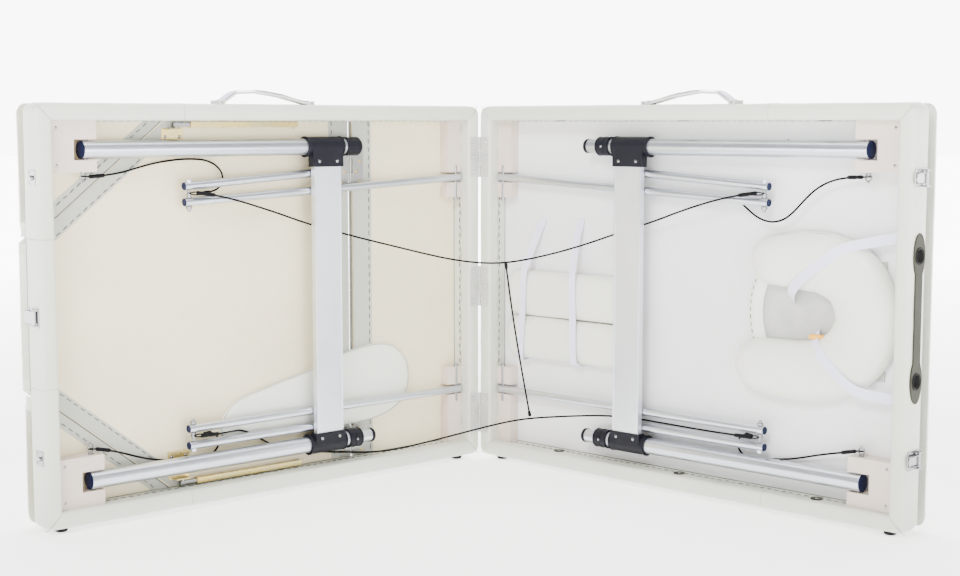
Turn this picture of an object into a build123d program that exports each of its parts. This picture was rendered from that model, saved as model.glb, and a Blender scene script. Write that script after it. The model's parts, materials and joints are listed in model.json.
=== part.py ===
from build123d import *

import os
from math import cos, pi, radians, sin, sqrt, tan

os.makedirs("parts", exist_ok=True)

# ---------------------------------------------------------------- driving dimensions (mm)
WIDTH = 700  # width of the table, which stands on one long side
HALF_LENGTH = 945  # hinge line to the end of one half
OPEN_ANGLE = 95.0  # angle between the two halves as they stand
FRAME_DEPTH = 46  # depth of the rails in front of the panel
PLY = 4  # panel thickness
DEPTH = 92  # lip to cushion top
RAIL = 28  # width of the side and end rails
HINGE_RAIL = (4, 26)  # the rail beside the fold
LIP_R = 7  # rounding of the rails' outer edges
PAD_R = 17  # rounding of the cushions' edges
BUMPER = 9  # height of the rubber feet under the standing side
AXIS_W = -1.6  # the fold's axis stands this far in front of the lips

LEG_V = (624, 70)  # upper and lower leg, height on the panel
LEG_W = 21
LEG_R, LEG_BORE = 15, 13
LEG_END, LEG_MOUTH = 857, 320
PIVOT_U = 850  # leg pivot
INNER_R, INNER_CLEAR = 12.6, 0.2
INNER_LONG = 345
FOOT_U = {"upper": 288.5, "lower": 258}  # left half: the upper foot is pushed home
BAR_U, BAR_W = (338, 398), (5, 16)
COLLAR_U = (290, 320)

STRUT_R, STRUT_W = 7.5, 25
STRUT_PIVOT_U = 40  # long strut's pivot in the hinge-side block
SHORT_PIVOT_U = 352  # short strut's pivot under the crossbar
LEG_SWING = 85  # degrees from folded to standing
LONG_V = ((560, 531), (134, 132))  # at its pivot, at the knee
SHORT_V = ((578, 559), (102, 102))
PIN_R, PIN_CLEAR = 3, 0.25
STRUT_END = 9  # a strut runs this far past its pivot
SHORT_END = 4.5  # and this far where it turns under the crossbar
LEG_BOLT_R = 4

SPLIT_U = 286  # backrest hinge line
BACK_AXIS_W = 45.5
BACK_SWING = 60
CUT = (285, 225)  # length and height of each cut-off corner of the backrest
ARM_V = (665, 35)
ARM_PIVOT_U, ARM_TIP_U = 420, 667
ARM_W = 38

POST_V, POST_W, POST_R = (455, 251), 24, 11  # bores for the face cradle's posts

CABLE_D = 3.5

Z0 = BUMPER
AXIS_Y = 288  # puts the whole standing table over the origin
HALF_ANGLE = radians(OPEN_ANGLE / 2)


# ---------------------------------------------------------------- the two halves' own axes
# u runs from the fold to the end, v up the width, w from the lip to the cushion
class Half:
    def __init__(self, s):
        self.s = s
        out = Vector(-s * sin(HALF_ANGLE), -cos(HALF_ANGLE), 0)
        self.n = Vector(-s * cos(HALF_ANGLE), sin(HALF_ANGLE), 0)
        self.x = out * s
        self.origin = Vector(0, AXIS_Y, Z0) - self.n * AXIS_W

    def at(self, u, v, w):
        return self.origin + self.x * (self.s * u) + Vector(0, 0, v) + self.n * w

    def local(self, p):
        d = p - self.origin
        return d.dot(self.x) * self.s, d.Z, d.dot(self.n)

    def plane(self, u=0, v=0, w=0):
        return Plane(origin=self.at(u, v, w), x_dir=self.x, z_dir=self.n)


L, R = Half(1), Half(-1)


def block(h, u, v, w, mode=Mode.ADD):
    """A box between two values each of u, v and w."""
    middle = [(a + b) / 2 for a, b in (u, v, w)]
    size = [abs(b - a) for a, b in (u, v, w)]
    with Locations(h.plane(*middle).location):
        Box(*size, mode=mode)


def rod(h, a, b, r, mode=Mode.ADD):
    """A round bar from a to b, both as (u, v, w)."""
    p, q = h.at(*a), h.at(*b)
    with Locations(Plane(origin=p, z_dir=q - p).location):
        Cylinder(r, (q - p).length, align=(Align.CENTER, Align.CENTER, Align.MIN), mode=mode)


def slab(h, outline, w, mode=Mode.ADD):
    """An outline in u and v, from w[0] to w[1]."""
    with BuildSketch(h.plane(0, 0, w[0]), mode=Mode.PRIVATE) as face:
        with BuildLine():
            Polyline(*[(h.s * u, v) for u, v in outline], close=True)
        make_face()
    extrude(face.sketch, amount=w[1] - w[0], dir=h.n, mode=mode)


def profile(h, outline, v, mode=Mode.ADD):
    """An outline in u and w, from v[0] to v[1]."""
    flat = Plane(origin=h.at(0, v[0], 0), x_dir=h.x, z_dir=(0, 0, 1))
    with BuildSketch(flat, mode=Mode.PRIVATE) as face:
        with BuildLine():
            Polyline(*[(h.s * u, -w) for u, w in outline], close=True)
        make_face()
    extrude(face.sketch, amount=v[1] - v[0], dir=(0, 0, 1), mode=mode)


def edges_where(h, shape, test):
    return [e for e in shape.edges() if test(*h.local(e.center()))]


def near(a, b, tol=0.2):
    return abs(a - b) < tol


# ---------------------------------------------------------------- worked-out sizes
# where the short strut's pivot stands once the legs have swung out
swing = radians(LEG_SWING)
arm_u, arm_w = SHORT_PIVOT_U - PIVOT_U, STRUT_W - LEG_W
swung_u = PIVOT_U + arm_u * cos(swing) - arm_w * sin(swing)
swung_w = LEG_W + arm_u * sin(swing) + arm_w * cos(swing)
open_span = sqrt((swung_u - STRUT_PIVOT_U) ** 2 + (swung_w - STRUT_W) ** 2)
shut_span = SHORT_PIVOT_U - STRUT_PIVOT_U
LONG_LEN = (open_span + shut_span) / 2
SHORT_LEN = (open_span - shut_span) / 2
KNEE_U = STRUT_PIVOT_U + LONG_LEN
print(f"long strut {LONG_LEN:.1f}, short strut {SHORT_LEN:.1f}, knee at u {KNEE_U:.1f}")

CUT_TOP = (HALF_LENGTH - CUT[0], WIDTH)
CUT_END = (HALF_LENGTH, WIDTH - CUT[1])


def cut_line(gap):
    """Two points on the cut-off corner's line, moved gap towards the corner."""
    (u0, v0), (u1, v1) = CUT_TOP, CUT_END
    long = sqrt((u1 - u0) ** 2 + (v1 - v0) ** 2)
    nu, nv = (v0 - v1) / long * gap, (u1 - u0) / long * gap
    return (u0 + nu, v0 + nv), (u1 + nu, v1 + nv)


def cut_at_u(u, gap):
    (u0, v0), (u1, v1) = cut_line(gap)
    return v0 + (v1 - v0) * (u - u0) / (u1 - u0)


def cut_at_v(v, gap):
    (u0, v0), (u1, v1) = cut_line(gap)
    return u0 + (u1 - u0) * (v - v0) / (v1 - v0)


def back_outline(u0, u1, v0, v1, gap=-1.5):
    """The backrest: a rectangle with its two outer corners cut off."""
    return [
        (u0, v0),
        (cut_at_v(v1, gap), v0),
        (u1, WIDTH - cut_at_u(u1, gap)),
        (u1, cut_at_u(u1, gap)),
        (cut_at_v(v1, gap), v1),
        (u0, v1),
    ]


def corner_outline(u1, v1, gap=1.5):
    return [(u1, cut_at_u(u1, gap)), (u1, v1), (cut_at_v(v1, gap), v1)]


def flip(outline):
    return [(u, WIDTH - v) for u, v in outline]


# ---------------------------------------------------------------- rails, mitred at the corners
MITRE_GAP = 0.1  # glue line at each mitre, so that each rail stays a board of its own


def rails(h):
    u0, u1, top = HINGE_RAIL[0], HALF_LENGTH, WIDTH
    ui, uo = HINGE_RAIL[1], HALF_LENGTH - RAIL
    depth = (0, FRAME_DEPTH)
    for edge, inner in ((top, top - RAIL), (0, RAIL)):
        long_side = [(u0 + MITRE_GAP, edge), (u1 - MITRE_GAP, edge)]
        short_side = [(uo - MITRE_GAP, inner), (ui + MITRE_GAP, inner)]
        slab(h, long_side + short_side, depth)
    slab(h, [(u0, 0), (ui, RAIL), (ui, top - RAIL), (u0, top)], depth)
    slab(h, [(u1, 0), (uo, RAIL), (uo, top - RAIL), (u1, top)], depth)


def round_lips(h, part):
    outer = edges_where(
        h,
        part.part,
        lambda u, v, w: near(w, 0) and (near(v, 0) or near(v, WIDTH) or near(u, HALF_LENGTH)),
    )
    fillet(outer, LIP_R)


with BuildPart() as left_rails:
    rails(L)
    round_lips(L, left_rails)

with BuildPart() as right_rails:
    rails(R)
    round_lips(R, right_rails)
    # the two bores that take a face cradle's posts
    for v in POST_V:
        rod(R, (HALF_LENGTH - RAIL - 1, v, POST_W), (HALF_LENGTH + 1, v, POST_W), POST_R, Mode.SUBTRACT)

# ---------------------------------------------------------------- panels and cushions
PANEL = (FRAME_DEPTH, FRAME_DEPTH + PLY)
PAD = (FRAME_DEPTH + PLY, DEPTH)

with BuildPart() as left_panels:
    block(L, (6, SPLIT_U - 5), (6, WIDTH - 6), PANEL)
    corner = corner_outline(HALF_LENGTH - 6, WIDTH - 6)
    for outline in (corner, flip(corner)):
        slab(L, outline, PANEL)

with BuildPart() as back_panel:
    slab(L, back_outline(SPLIT_U + 5, HALF_LENGTH - 6, 8, WIDTH - 8, -3), (PANEL[0] + 0.4, PANEL[1]))

with BuildPart() as right_panel:
    block(R, (6, HALF_LENGTH - 6), (6, WIDTH - 6), PANEL)

# the faces at the split lean away from the backrest's axis, so the foam clears as it lifts
LEAN = tan(radians(BACK_SWING / 2 + 0.5)) * (DEPTH - BACK_AXIS_W)
FOOT_GAP = 4.0

with BuildPart() as seat_cushion:
    profile(
        L,
        [(4, PAD[0]), (SPLIT_U - FOOT_GAP, PAD[0]), (SPLIT_U - FOOT_GAP - LEAN, DEPTH), (4, DEPTH)],
        (0, WIDTH),
    )
    soft = edges_where(
        L,
        seat_cushion.part,
        lambda u, v, w: near(w, DEPTH) and (near(v, 0) or near(v, WIDTH)),
    )
    fillet(soft, PAD_R)

with BuildPart() as back_cushion:
    slab(L, back_outline(SPLIT_U + FOOT_GAP, HALF_LENGTH - 1, 0, WIDTH), (PAD[0] + 0.3, DEPTH))
    # the leaning face
    foot_u = SPLIT_U + FOOT_GAP
    wedge = [(foot_u, PAD[0]), (foot_u + LEAN, DEPTH), (foot_u + LEAN, DEPTH + 9)]
    wedge = [(SPLIT_U, PAD[0]), *wedge, (SPLIT_U, DEPTH + 9)]
    profile(L, wedge, (-5, WIDTH + 5), Mode.SUBTRACT)
    soft = edges_where(
        L,
        back_cushion.part,
        lambda u, v, w: near(w, DEPTH) and (near(v, 0) or near(v, WIDTH) or near(u, HALF_LENGTH - 1)),
    )
    fillet(soft, PAD_R)

with BuildPart() as corner_pads:
    corner = corner_outline(HALF_LENGTH - 4, WIDTH)
    for outline in (corner, flip(corner)):
        slab(L, outline, PAD)
    soft = edges_where(
        L,
        corner_pads.part,
        lambda u, v, w: near(w, DEPTH) and (near(v, 0) or near(v, WIDTH) or near(u, HALF_LENGTH - 4)),
    )
    fillet(soft, PAD_R)

with BuildPart() as head_cushion:
    block(R, (4, HALF_LENGTH - 2), (0, WIDTH), PAD)
    soft = edges_where(
        R,
        head_cushion.part,
        lambda u, v, w: near(w, DEPTH) and (near(v, 0) or near(v, WIDTH) or near(u, HALF_LENGTH - 2)),
    )
    fillet(soft, PAD_R)


# ---------------------------------------------------------------- wooden blocks in the corners
BLOCK_U = (832, HALF_LENGTH - RAIL)
BLOCK_W = (14, FRAME_DEPTH)
SMALL_U = (HINGE_RAIL[1], 62)
SMALL_W = (24, FRAME_DEPTH)
EDGE = (RAIL, WIDTH - RAIL)
LEG_BLOCK_V = ((587, EDGE[1]), (EDGE[0], 113))
STRUT_BLOCK_V = ((520, EDGE[1]), (EDGE[0], 180))
SLOT, SMALL_SLOT = 17, 10  # half the width of each slot
SLOT_END_U = PIVOT_U + 23


def blocks(h):
    for leg_v, span in zip(LEG_V, LEG_BLOCK_V):
        block(h, BLOCK_U, span, BLOCK_W)
        across = (leg_v - SLOT, leg_v + SLOT)
        block(h, (BLOCK_U[0] - 1, SLOT_END_U), across, (0, FRAME_DEPTH), Mode.SUBTRACT)
        rod(h, (PIVOT_U, leg_v - 30, LEG_W), (PIVOT_U, leg_v + 30, LEG_W), LEG_BOLT_R, Mode.SUBTRACT)
    for (pivot_v, _), span in zip(LONG_V, STRUT_BLOCK_V):
        block(h, SMALL_U, span, SMALL_W)
        across = (pivot_v - SMALL_SLOT, pivot_v + SMALL_SLOT)
        block(h, (SMALL_U[0], SMALL_U[1] + 1), across, (0, FRAME_DEPTH), Mode.SUBTRACT)
        low = 500 if pivot_v > WIDTH / 2 else pivot_v - 24
        high = pivot_v + 24 if pivot_v > WIDTH / 2 else 200
        rod(h, (STRUT_PIVOT_U, low, STRUT_W), (STRUT_PIVOT_U, high, STRUT_W), PIN_R, Mode.SUBTRACT)


with BuildPart() as left_blocks:
    blocks(L)

with BuildPart() as right_blocks:
    blocks(R)

# ---------------------------------------------------------------- pivot bolts and eye bolts
EYE_V = (578, 122)
EYE_W, EYE_R, WIRE_R = 28, 5.5, 1.4


def bolts(h):
    for leg_v in LEG_V:
        rod(h, (PIVOT_U, leg_v - 30, LEG_W), (PIVOT_U, leg_v + 30, LEG_W), LEG_BOLT_R)
    for (pivot_v, _), span in zip(LONG_V, STRUT_BLOCK_V):
        up = pivot_v > WIDTH / 2
        free = span[0] - 6 if up else span[1] + 6
        far = pivot_v + 24 if up else pivot_v - 24
        rod(h, (STRUT_PIVOT_U, free, STRUT_W), (STRUT_PIVOT_U, far, STRUT_W), PIN_R)
        face = span[0] if up else span[1]
        nut = face - 4 if up else face + 4
        rod(h, (STRUT_PIVOT_U, face, STRUT_W), (STRUT_PIVOT_U, nut, STRUT_W), 5)
    for eye_v, (low, high) in zip(EYE_V, LEG_BLOCK_V):
        up = eye_v > WIDTH / 2
        face = low if up else high
        ring = eye_v
        with Locations(Plane(origin=h.at(PIVOT_U, ring, EYE_W), x_dir=h.x, z_dir=h.n).location):
            Torus(EYE_R, WIRE_R)
        edge = ring + (EYE_R if up else -EYE_R)
        rod(h, (PIVOT_U, edge, EYE_W), (PIVOT_U, face, EYE_W), 2)
        rod(h, (PIVOT_U, face, EYE_W), (PIVOT_U, face - 2 if up else face + 2, EYE_W), 5)


with BuildPart() as left_bolts:
    bolts(L)
    # pivots of the two backrest arms, in the side rails
    for arm_v in ARM_V:
        wall = EDGE[1] if arm_v > WIDTH / 2 else EDGE[0]
        end = arm_v - 8 if arm_v > WIDTH / 2 else arm_v + 8
        rod(L, (ARM_PIVOT_U, end, ARM_W), (ARM_PIVOT_U, wall, ARM_W), 2)

with BuildPart() as right_bolts:
    bolts(R)

# ---------------------------------------------------------------- fold hinges, three leaves a side
HINGE_V = (600, 342, 85)
HINGE_LONG = 80
LEAF = 1.4
KNUCKLE_R, PIN = 3.0, 1.4
KNUCKLES = 3


def leaves(h, odd):
    step = HINGE_LONG / KNUCKLES
    for mid in HINGE_V:
        low = mid - HINGE_LONG / 2
        block(h, (KNUCKLE_R + 1.2, 23), (low, low + HINGE_LONG), (-LEAF, 0))
        for i in range(KNUCKLES):
            if (i % 2 == 0) == odd:
                continue
            span = (low + i * step + 0.3, low + (i + 1) * step - 0.3)
            rod(h, (0, span[0], AXIS_W), (0, span[1], AXIS_W), KNUCKLE_R)
            block(h, (0, KNUCKLE_R + 1.3), span, (-LEAF, -0.2))
            if odd:
                rod(h, (0, span[0] - 1, AXIS_W), (0, span[1] + 1, AXIS_W), PIN + 0.1, Mode.SUBTRACT)


with BuildPart() as left_fold_leaves:
    leaves(L, False)
    for mid in HINGE_V:
        rod(L, (0, mid - HINGE_LONG / 2, AXIS_W), (0, mid + HINGE_LONG / 2, AXIS_W), PIN)

with BuildPart() as right_fold_leaves:
    leaves(R, True)

# ---------------------------------------------------------------- leg frames
SLEEVE_R = 18.5
CONNECTOR_U = (328, 410)
SOCKET = ((587.5, 624), (70, 92))  # the connector's socket for the crossbar


def leg_bolt_hole(h, leg_v):
    ends = [(PIVOT_U, leg_v + side * 20, LEG_W) for side in (-1, 1)]
    rod(h, *ends, LEG_BOLT_R + PIN_CLEAR, Mode.SUBTRACT)


def leg_tubes(h):
    for leg_v in LEG_V:
        rod(h, (LEG_MOUTH, leg_v, LEG_W), (LEG_END, leg_v, LEG_W), LEG_R)
        rod(h, (LEG_MOUTH - 1, leg_v, LEG_W), (LEG_END + 1, leg_v, LEG_W), LEG_BORE, Mode.SUBTRACT)
        leg_bolt_hole(h, leg_v)


def leg_plugs(h):
    for leg_v in LEG_V:
        rod(h, (LEG_END - 24, leg_v, LEG_W), (LEG_END, leg_v, LEG_W), LEG_BORE)
        rod(h, (LEG_END, leg_v, LEG_W), (LEG_END + 1.5, leg_v, LEG_W), LEG_R)
        leg_bolt_hole(h, leg_v)


def connectors(h):
    for leg_v, socket in zip(LEG_V, SOCKET):
        rod(h, (CONNECTOR_U[0], leg_v, LEG_W), (CONNECTOR_U[1], leg_v, LEG_W), SLEEVE_R)
        block(h, (BAR_U[0] - 4, BAR_U[1] + 4), socket, (BAR_W[0] - 2.5, BAR_W[1] + 2.5))
        rod(h, (COLLAR_U[0], leg_v, LEG_W), (COLLAR_U[1], leg_v, LEG_W), 17.5)
        bore = [(u, leg_v, LEG_W) for u in (COLLAR_U[0] - 1, COLLAR_U[1] + 1)]
        rod(h, *bore, INNER_R + INNER_CLEAR, Mode.SUBTRACT)
        rod(h, (COLLAR_U[1], leg_v, LEG_W), (CONNECTOR_U[1] + 1, leg_v, LEG_W), LEG_R, Mode.SUBTRACT)


def crossbar(h):
    low, high = SOCKET[1][1], SOCKET[0][0]
    block(h, BAR_U, (low, high), BAR_W)
    # a bracket and pin under the bar for each short strut, on the strut's inner side
    for pivot_v, _ in SHORT_V:
        side = -1 if pivot_v > WIDTH / 2 else 1
        inner = pivot_v + side * (STRUT_R + 0.8)
        cheek = sorted((inner, inner + side * 3.5))
        block(h, (SHORT_PIVOT_U - 8, SHORT_PIVOT_U + 8), cheek, (BAR_W[1], STRUT_W + 6))
        tip = pivot_v - side * (STRUT_R + 0.6)
        rod(h, (SHORT_PIVOT_U, inner + side, STRUT_W), (SHORT_PIVOT_U, tip, STRUT_W), PIN_R)


with BuildPart() as left_leg_tubes:
    leg_tubes(L)

with BuildPart() as right_leg_tubes:
    leg_tubes(R)

with BuildPart() as left_leg_plugs:
    leg_plugs(L)

with BuildPart() as right_leg_plugs:
    leg_plugs(R)

with BuildPart() as left_connectors:
    connectors(L)

with BuildPart() as right_connectors:
    connectors(R)

with BuildPart() as left_crossbar:
    crossbar(L)

with BuildPart() as right_crossbar:
    crossbar(R)


# ---------------------------------------------------------------- telescopic feet, one tube each
def foot(h, leg_v, tip):
    rod(h, (tip, leg_v, LEG_W), (tip + INNER_LONG, leg_v, LEG_W), INNER_R)
    rod(h, (tip + 14, leg_v, LEG_W), (tip + INNER_LONG + 1, leg_v, LEG_W), INNER_R - 1.6, Mode.SUBTRACT)


with BuildPart() as left_upper_foot:
    foot(L, LEG_V[0], FOOT_U["upper"])

with BuildPart() as left_lower_foot:
    foot(L, LEG_V[1], FOOT_U["lower"])

with BuildPart() as right_upper_foot:
    foot(R, LEG_V[0], FOOT_U["lower"])

with BuildPart() as right_lower_foot:
    foot(R, LEG_V[1], FOOT_U["lower"])


# ---------------------------------------------------------------- struts and their knees
def long_struts(h):
    for v0, v1 in LONG_V:
        rise = (v1 - v0) / LONG_LEN
        a = (STRUT_PIVOT_U - STRUT_END, v0 - STRUT_END * rise, STRUT_W)
        b = (KNEE_U + STRUT_END, v1 + STRUT_END * rise, STRUT_W)
        rod(h, a, b, STRUT_R)
        for u, v in ((STRUT_PIVOT_U, v0), (KNEE_U, v1)):
            hole = PIN_R + (PIN_CLEAR if u < 100 else 0)
            rod(h, (u, v - 12, STRUT_W), (u, v + 12, STRUT_W), hole, Mode.SUBTRACT)


def short_struts(h):
    for v0, v1 in SHORT_V:
        rise = (v1 - v0) / SHORT_LEN
        a = (SHORT_PIVOT_U - SHORT_END, v0 - SHORT_END * rise, STRUT_W)
        b = (KNEE_U + STRUT_END, v1 + STRUT_END * rise, STRUT_W)
        rod(h, a, b, STRUT_R)
        hole = [(SHORT_PIVOT_U, v0 + side * 12, STRUT_W) for side in (-1, 1)]
        rod(h, *hole, PIN_R + PIN_CLEAR, Mode.SUBTRACT)
        # the bolt's head, on the outer side
        side = 1 if v0 > WIDTH / 2 else -1
        rod(h, (KNEE_U, v1, STRUT_W), (KNEE_U, v1 + side * (STRUT_R + 3.5), STRUT_W), 5.5)


def knee_bolts(h):
    """The bolt stands in the long strut and stops short of the other one, which swings free of it."""
    for (_, long_v), (_, short_v) in zip(LONG_V, SHORT_V):
        side = 1 if short_v > long_v else -1
        stop = short_v - side * (STRUT_R + 1)
        rod(h, (KNEE_U, long_v - side * (STRUT_R + 7), STRUT_W), (KNEE_U, stop, STRUT_W), PIN_R)
        nut = [(KNEE_U, long_v - side * (STRUT_R + far), STRUT_W) for far in (4.5, 0.6)]
        rod(h, *nut, 5.5)


with BuildPart() as left_long_struts:
    long_struts(L)

with BuildPart() as right_long_struts:
    long_struts(R)

with BuildPart() as left_short_struts:
    short_struts(L)

with BuildPart() as right_short_struts:
    short_struts(R)

with BuildPart() as left_knee_bolts:
    knee_bolts(L)

with BuildPart() as right_knee_bolts:
    knee_bolts(R)

# ---------------------------------------------------------------- backrest hinges
BACK_HINGE_V = ((548, 624), (30, 88))
BACK_LEAF = 1.4
BACK_KNUCKLE, BACK_PIN = 2.4, 1.2


def back_leaves(fixed):
    for low, high in BACK_HINGE_V:
        near_u, far_u = (SPLIT_U - 5, SPLIT_U - 30) if fixed else (SPLIT_U + 5, SPLIT_U + 30)
        face = FRAME_DEPTH if fixed else FRAME_DEPTH + 0.4
        block(L, sorted((near_u, far_u)), (low, high), (face - BACK_LEAF, face))
        step = (high - low) / 3
        for i in range(3):
            if (i == 1) == fixed:
                continue
            span = (low + i * step + 0.3, low + (i + 1) * step - 0.3)
            tongue = sorted((SPLIT_U, near_u))
            block(L, tongue, span, (face - BACK_LEAF, face))
            rod(L, (SPLIT_U, span[0], BACK_AXIS_W), (SPLIT_U, span[1], BACK_AXIS_W), BACK_KNUCKLE)
            if not fixed:
                bore = [(SPLIT_U, v, BACK_AXIS_W) for v in (span[0] - 1, span[1] + 1)]
                rod(L, *bore, BACK_PIN + 0.1, Mode.SUBTRACT)


with BuildPart() as back_leaves_fixed:
    back_leaves(True)
    for low, high in BACK_HINGE_V:
        start = low - 6 if low > WIDTH / 2 else low
        rod(L, (SPLIT_U, start, BACK_AXIS_W), (SPLIT_U, high, BACK_AXIS_W), BACK_PIN)

with BuildPart() as back_leaves_moving:
    back_leaves(False)

# ---------------------------------------------------------------- backrest supports
ARM_END_U = 640
SLIDE_U = (500, ARM_TIP_U + 6)
CHANNEL, CHANNEL_BORE, SLIDE = 5, 3.3, 3.1


def square_bar(arm_v, u, half, mode=Mode.ADD):
    block(L, u, (arm_v - half, arm_v + half), (ARM_W - half, ARM_W + half), mode)


with BuildPart() as support_channels:
    for arm_v in ARM_V:
        square_bar(arm_v, (ARM_PIVOT_U - 6, ARM_END_U), CHANNEL)
        square_bar(arm_v, (ARM_PIVOT_U + 8, ARM_END_U + 1), CHANNEL_BORE, Mode.SUBTRACT)
        rod(L, (ARM_PIVOT_U, arm_v - 9, ARM_W), (ARM_PIVOT_U, arm_v + 9, ARM_W), 2.15, Mode.SUBTRACT)

with BuildPart() as support_slides:
    for arm_v in ARM_V:
        square_bar(arm_v, SLIDE_U, SLIDE)

with BuildPart() as support_plates:
    for arm_v in ARM_V:
        side = -1 if arm_v > WIDTH / 2 else 1
        flange = arm_v + side * (CHANNEL + 2)
        wide = sorted((flange, flange + side * 50))
        block(L, (650, 692), wide, (FRAME_DEPTH - 1.6, FRAME_DEPTH + 0.4))
        thin = sorted((flange, flange + side * 2))
        block(L, (655, 684), thin, (ARM_W - 8, FRAME_DEPTH - 1.6))
        rod(L, (ARM_TIP_U, flange, ARM_W), (ARM_TIP_U, flange - side * 2.5, ARM_W), 3)

# ---------------------------------------------------------------- latches and strikes on the end faces
LATCH_V = (580, 121)
MID_LATCH_V = 353
END = HALF_LENGTH

with BuildPart() as left_end_hardware:
    for v in LATCH_V:
        block(L, (END, END + 2), (v - 12, v + 12), (7, 32))
        rod(L, (END + 2, v, 13), (END + 5, v, 13), 3.5)
    block(L, (END, END + 2), (MID_LATCH_V - 16, MID_LATCH_V + 16), (8, 44))
    for side in (-1, 1):
        block(L, (END + 2, END + 9), sorted((MID_LATCH_V + side * 12, MID_LATCH_V + side * 14)), (10, 20))

with BuildPart() as backrest_latch_lever:
    block(L, (END + 3.2, END + 5.2), (MID_LATCH_V - 10, MID_LATCH_V + 10), (13, 52))
    rod(L, (END + 6, MID_LATCH_V - 11.6, 15), (END + 6, MID_LATCH_V + 11.6, 15), 2.4)

with BuildPart() as right_latch_bases:
    for v in LATCH_V:
        block(R, (END, END + 2), (v - 16, v + 16), (7, 42))
        for side in (-1, 1):
            block(R, (END + 2, END + 10), sorted((v + side * 12, v + side * 14)), (28, 40))


def latch_lever(v):
    block(R, (END + 3.4, END + 5.6), (v - 10, v + 10), (-1, 34))
    rod(R, (END + 6.5, v - 11.6, 34), (END + 6.5, v + 11.6, 34), 2.6)


with BuildPart() as upper_latch_lever:
    latch_lever(LATCH_V[0])

with BuildPart() as lower_latch_lever:
    latch_lever(LATCH_V[1])

# ---------------------------------------------------------------- carrying handles on the top side
STRAP_W = (14, 34)
HANDLE_U = (392, 597)


def handle(h):
    u0, u1 = HANDLE_U
    upper = [(u0, 704), (u0 + 12, 704), (u0 + 68, 717), (u0 + 118, 724)]
    upper += [(u0 + 165, 722), (u1 - 12, 705), (u1, 705)]
    lower = [(u, v - 4) for u, v in reversed(upper)]
    slab(h, upper + lower, STRAP_W)
    for u in (u0, u1 - 14):
        block(h, (u, u + 14), (WIDTH, 707), (STRAP_W[0] - 3, STRAP_W[1] + 3))


with BuildPart() as left_handle:
    handle(L)

with BuildPart() as right_handle:
    handle(R)


# ---------------------------------------------------------------- rubber feet under the standing side
def bumpers(h):
    for u in (38, 908):
        with Locations(Plane(origin=h.at(u, 0, 26), z_dir=(0, 0, -1)).location):
            Cylinder(11, BUMPER, align=(Align.CENTER, Align.CENTER, Align.MIN))


with BuildPart() as left_bumpers:
    bumpers(L)
    fillet(left_bumpers.edges().group_by(Axis.Z)[0], 4)

with BuildPart() as right_bumpers:
    bumpers(R)
    fillet(right_bumpers.edges().group_by(Axis.Z)[0], 4)

# ---------------------------------------------------------------- stored accessories
GROMMET_U = (191, 480, 769)

with BuildPart() as arm_pads:
    outline = [(560, 98), (582, 120), (575, 140), (546, 170), (392, 205), (330, 226)]
    outline += [(200, 240), (160, 210), (158, 140), (190, 112), (260, 94)]
    slab(L, outline, (38.5, FRAME_DEPTH - 0.4))

BOLSTER_U = (44, 366)
BOLSTER_V = (203, 288, 378)
BOLSTER_W = 18

with BuildPart() as bolster:
    for low, high in zip(BOLSTER_V, BOLSTER_V[1:]):
        block(R, BOLSTER_U, (low, high), (BOLSTER_W, FRAME_DEPTH - 0.4))
    soft = edges_where(R, bolster.part, lambda u, v, w: near(w, BOLSTER_W) and not near(v, BOLSTER_V[1], 2))
    fillet(soft, 10)

CRADLE_MID = (775, 340)
CRADLE_W = 8

with BuildPart() as cradle_pad:
    with BuildSketch(R.plane(0, 0, CRADLE_W), mode=Mode.PRIVATE) as ring:
        with Locations((-CRADLE_MID[0], CRADLE_MID[1])):
            Ellipse(136, 144)
        with Locations((-697, CRADLE_MID[1])):
            Rectangle(172, 236)
        with Locations((-CRADLE_MID[0] + 6, CRADLE_MID[1])):
            Ellipse(44, 40, mode=Mode.SUBTRACT)
        with Locations((-690, CRADLE_MID[1])):
            Rectangle(170, 60, mode=Mode.SUBTRACT)
    extrude(ring.sketch, amount=35, dir=R.n)

with BuildPart() as cradle_platform:
    block(R, (640, 880), (240, 440), (43.4, FRAME_DEPTH - 0.2))

STRAP = 1.2

with BuildPart() as straps:
    # two elastic straps over the bolster
    for u in (110, 228):
        block(R, (u - 8, u + 8), (BOLSTER_V[0], BOLSTER_V[2] + 6), (BOLSTER_W - 0.3 - STRAP, BOLSTER_W - 0.3))
    # two more over the cradle pad, to the end rail
    for (u0, v0), (u1, v1) in (((712, 376), (907, 483)), ((756, 302), (907, 218))):
        long = sqrt((u1 - u0) ** 2 + (v1 - v0) ** 2)
        nu, nv = -(v1 - v0) / long * 8, (u1 - u0) / long * 8
        band = [(u0 + nu, v0 + nv), (u1 + nu, v1 + nv), (u1 - nu, v1 - nv), (u0 - nu, v0 - nv)]
        slab(R, band, (CRADLE_W - 0.3 - STRAP, CRADLE_W - 0.3))

with BuildPart() as grip_plate_and_grommets:
    mid_v = sum(POST_V) / 2
    end_face = Plane(origin=R.at(END, mid_v, POST_W), x_dir=R.n, z_dir=-R.x)
    with BuildSketch(end_face, mode=Mode.PRIVATE) as plate:
        for v in POST_V:
            with Locations((0, v - mid_v)):
                Ellipse(18, 37)
        Rectangle(22, 210)
        for v in POST_V:
            with Locations((0, v - mid_v)):
                Circle(POST_R, mode=Mode.SUBTRACT)
    extrude(plate.sketch, amount=3, dir=-R.x)
    for u in GROMMET_U:
        for v, face in ((EDGE[1] - 1.5, EDGE[1]), (EDGE[0], EDGE[0] + 1.5)):
            rod(R, (u, v, 24), (u, face, 24), 11)
            rod(R, (u, v - 1, 24), (u, face + 1, 24), 4, Mode.SUBTRACT)


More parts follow.
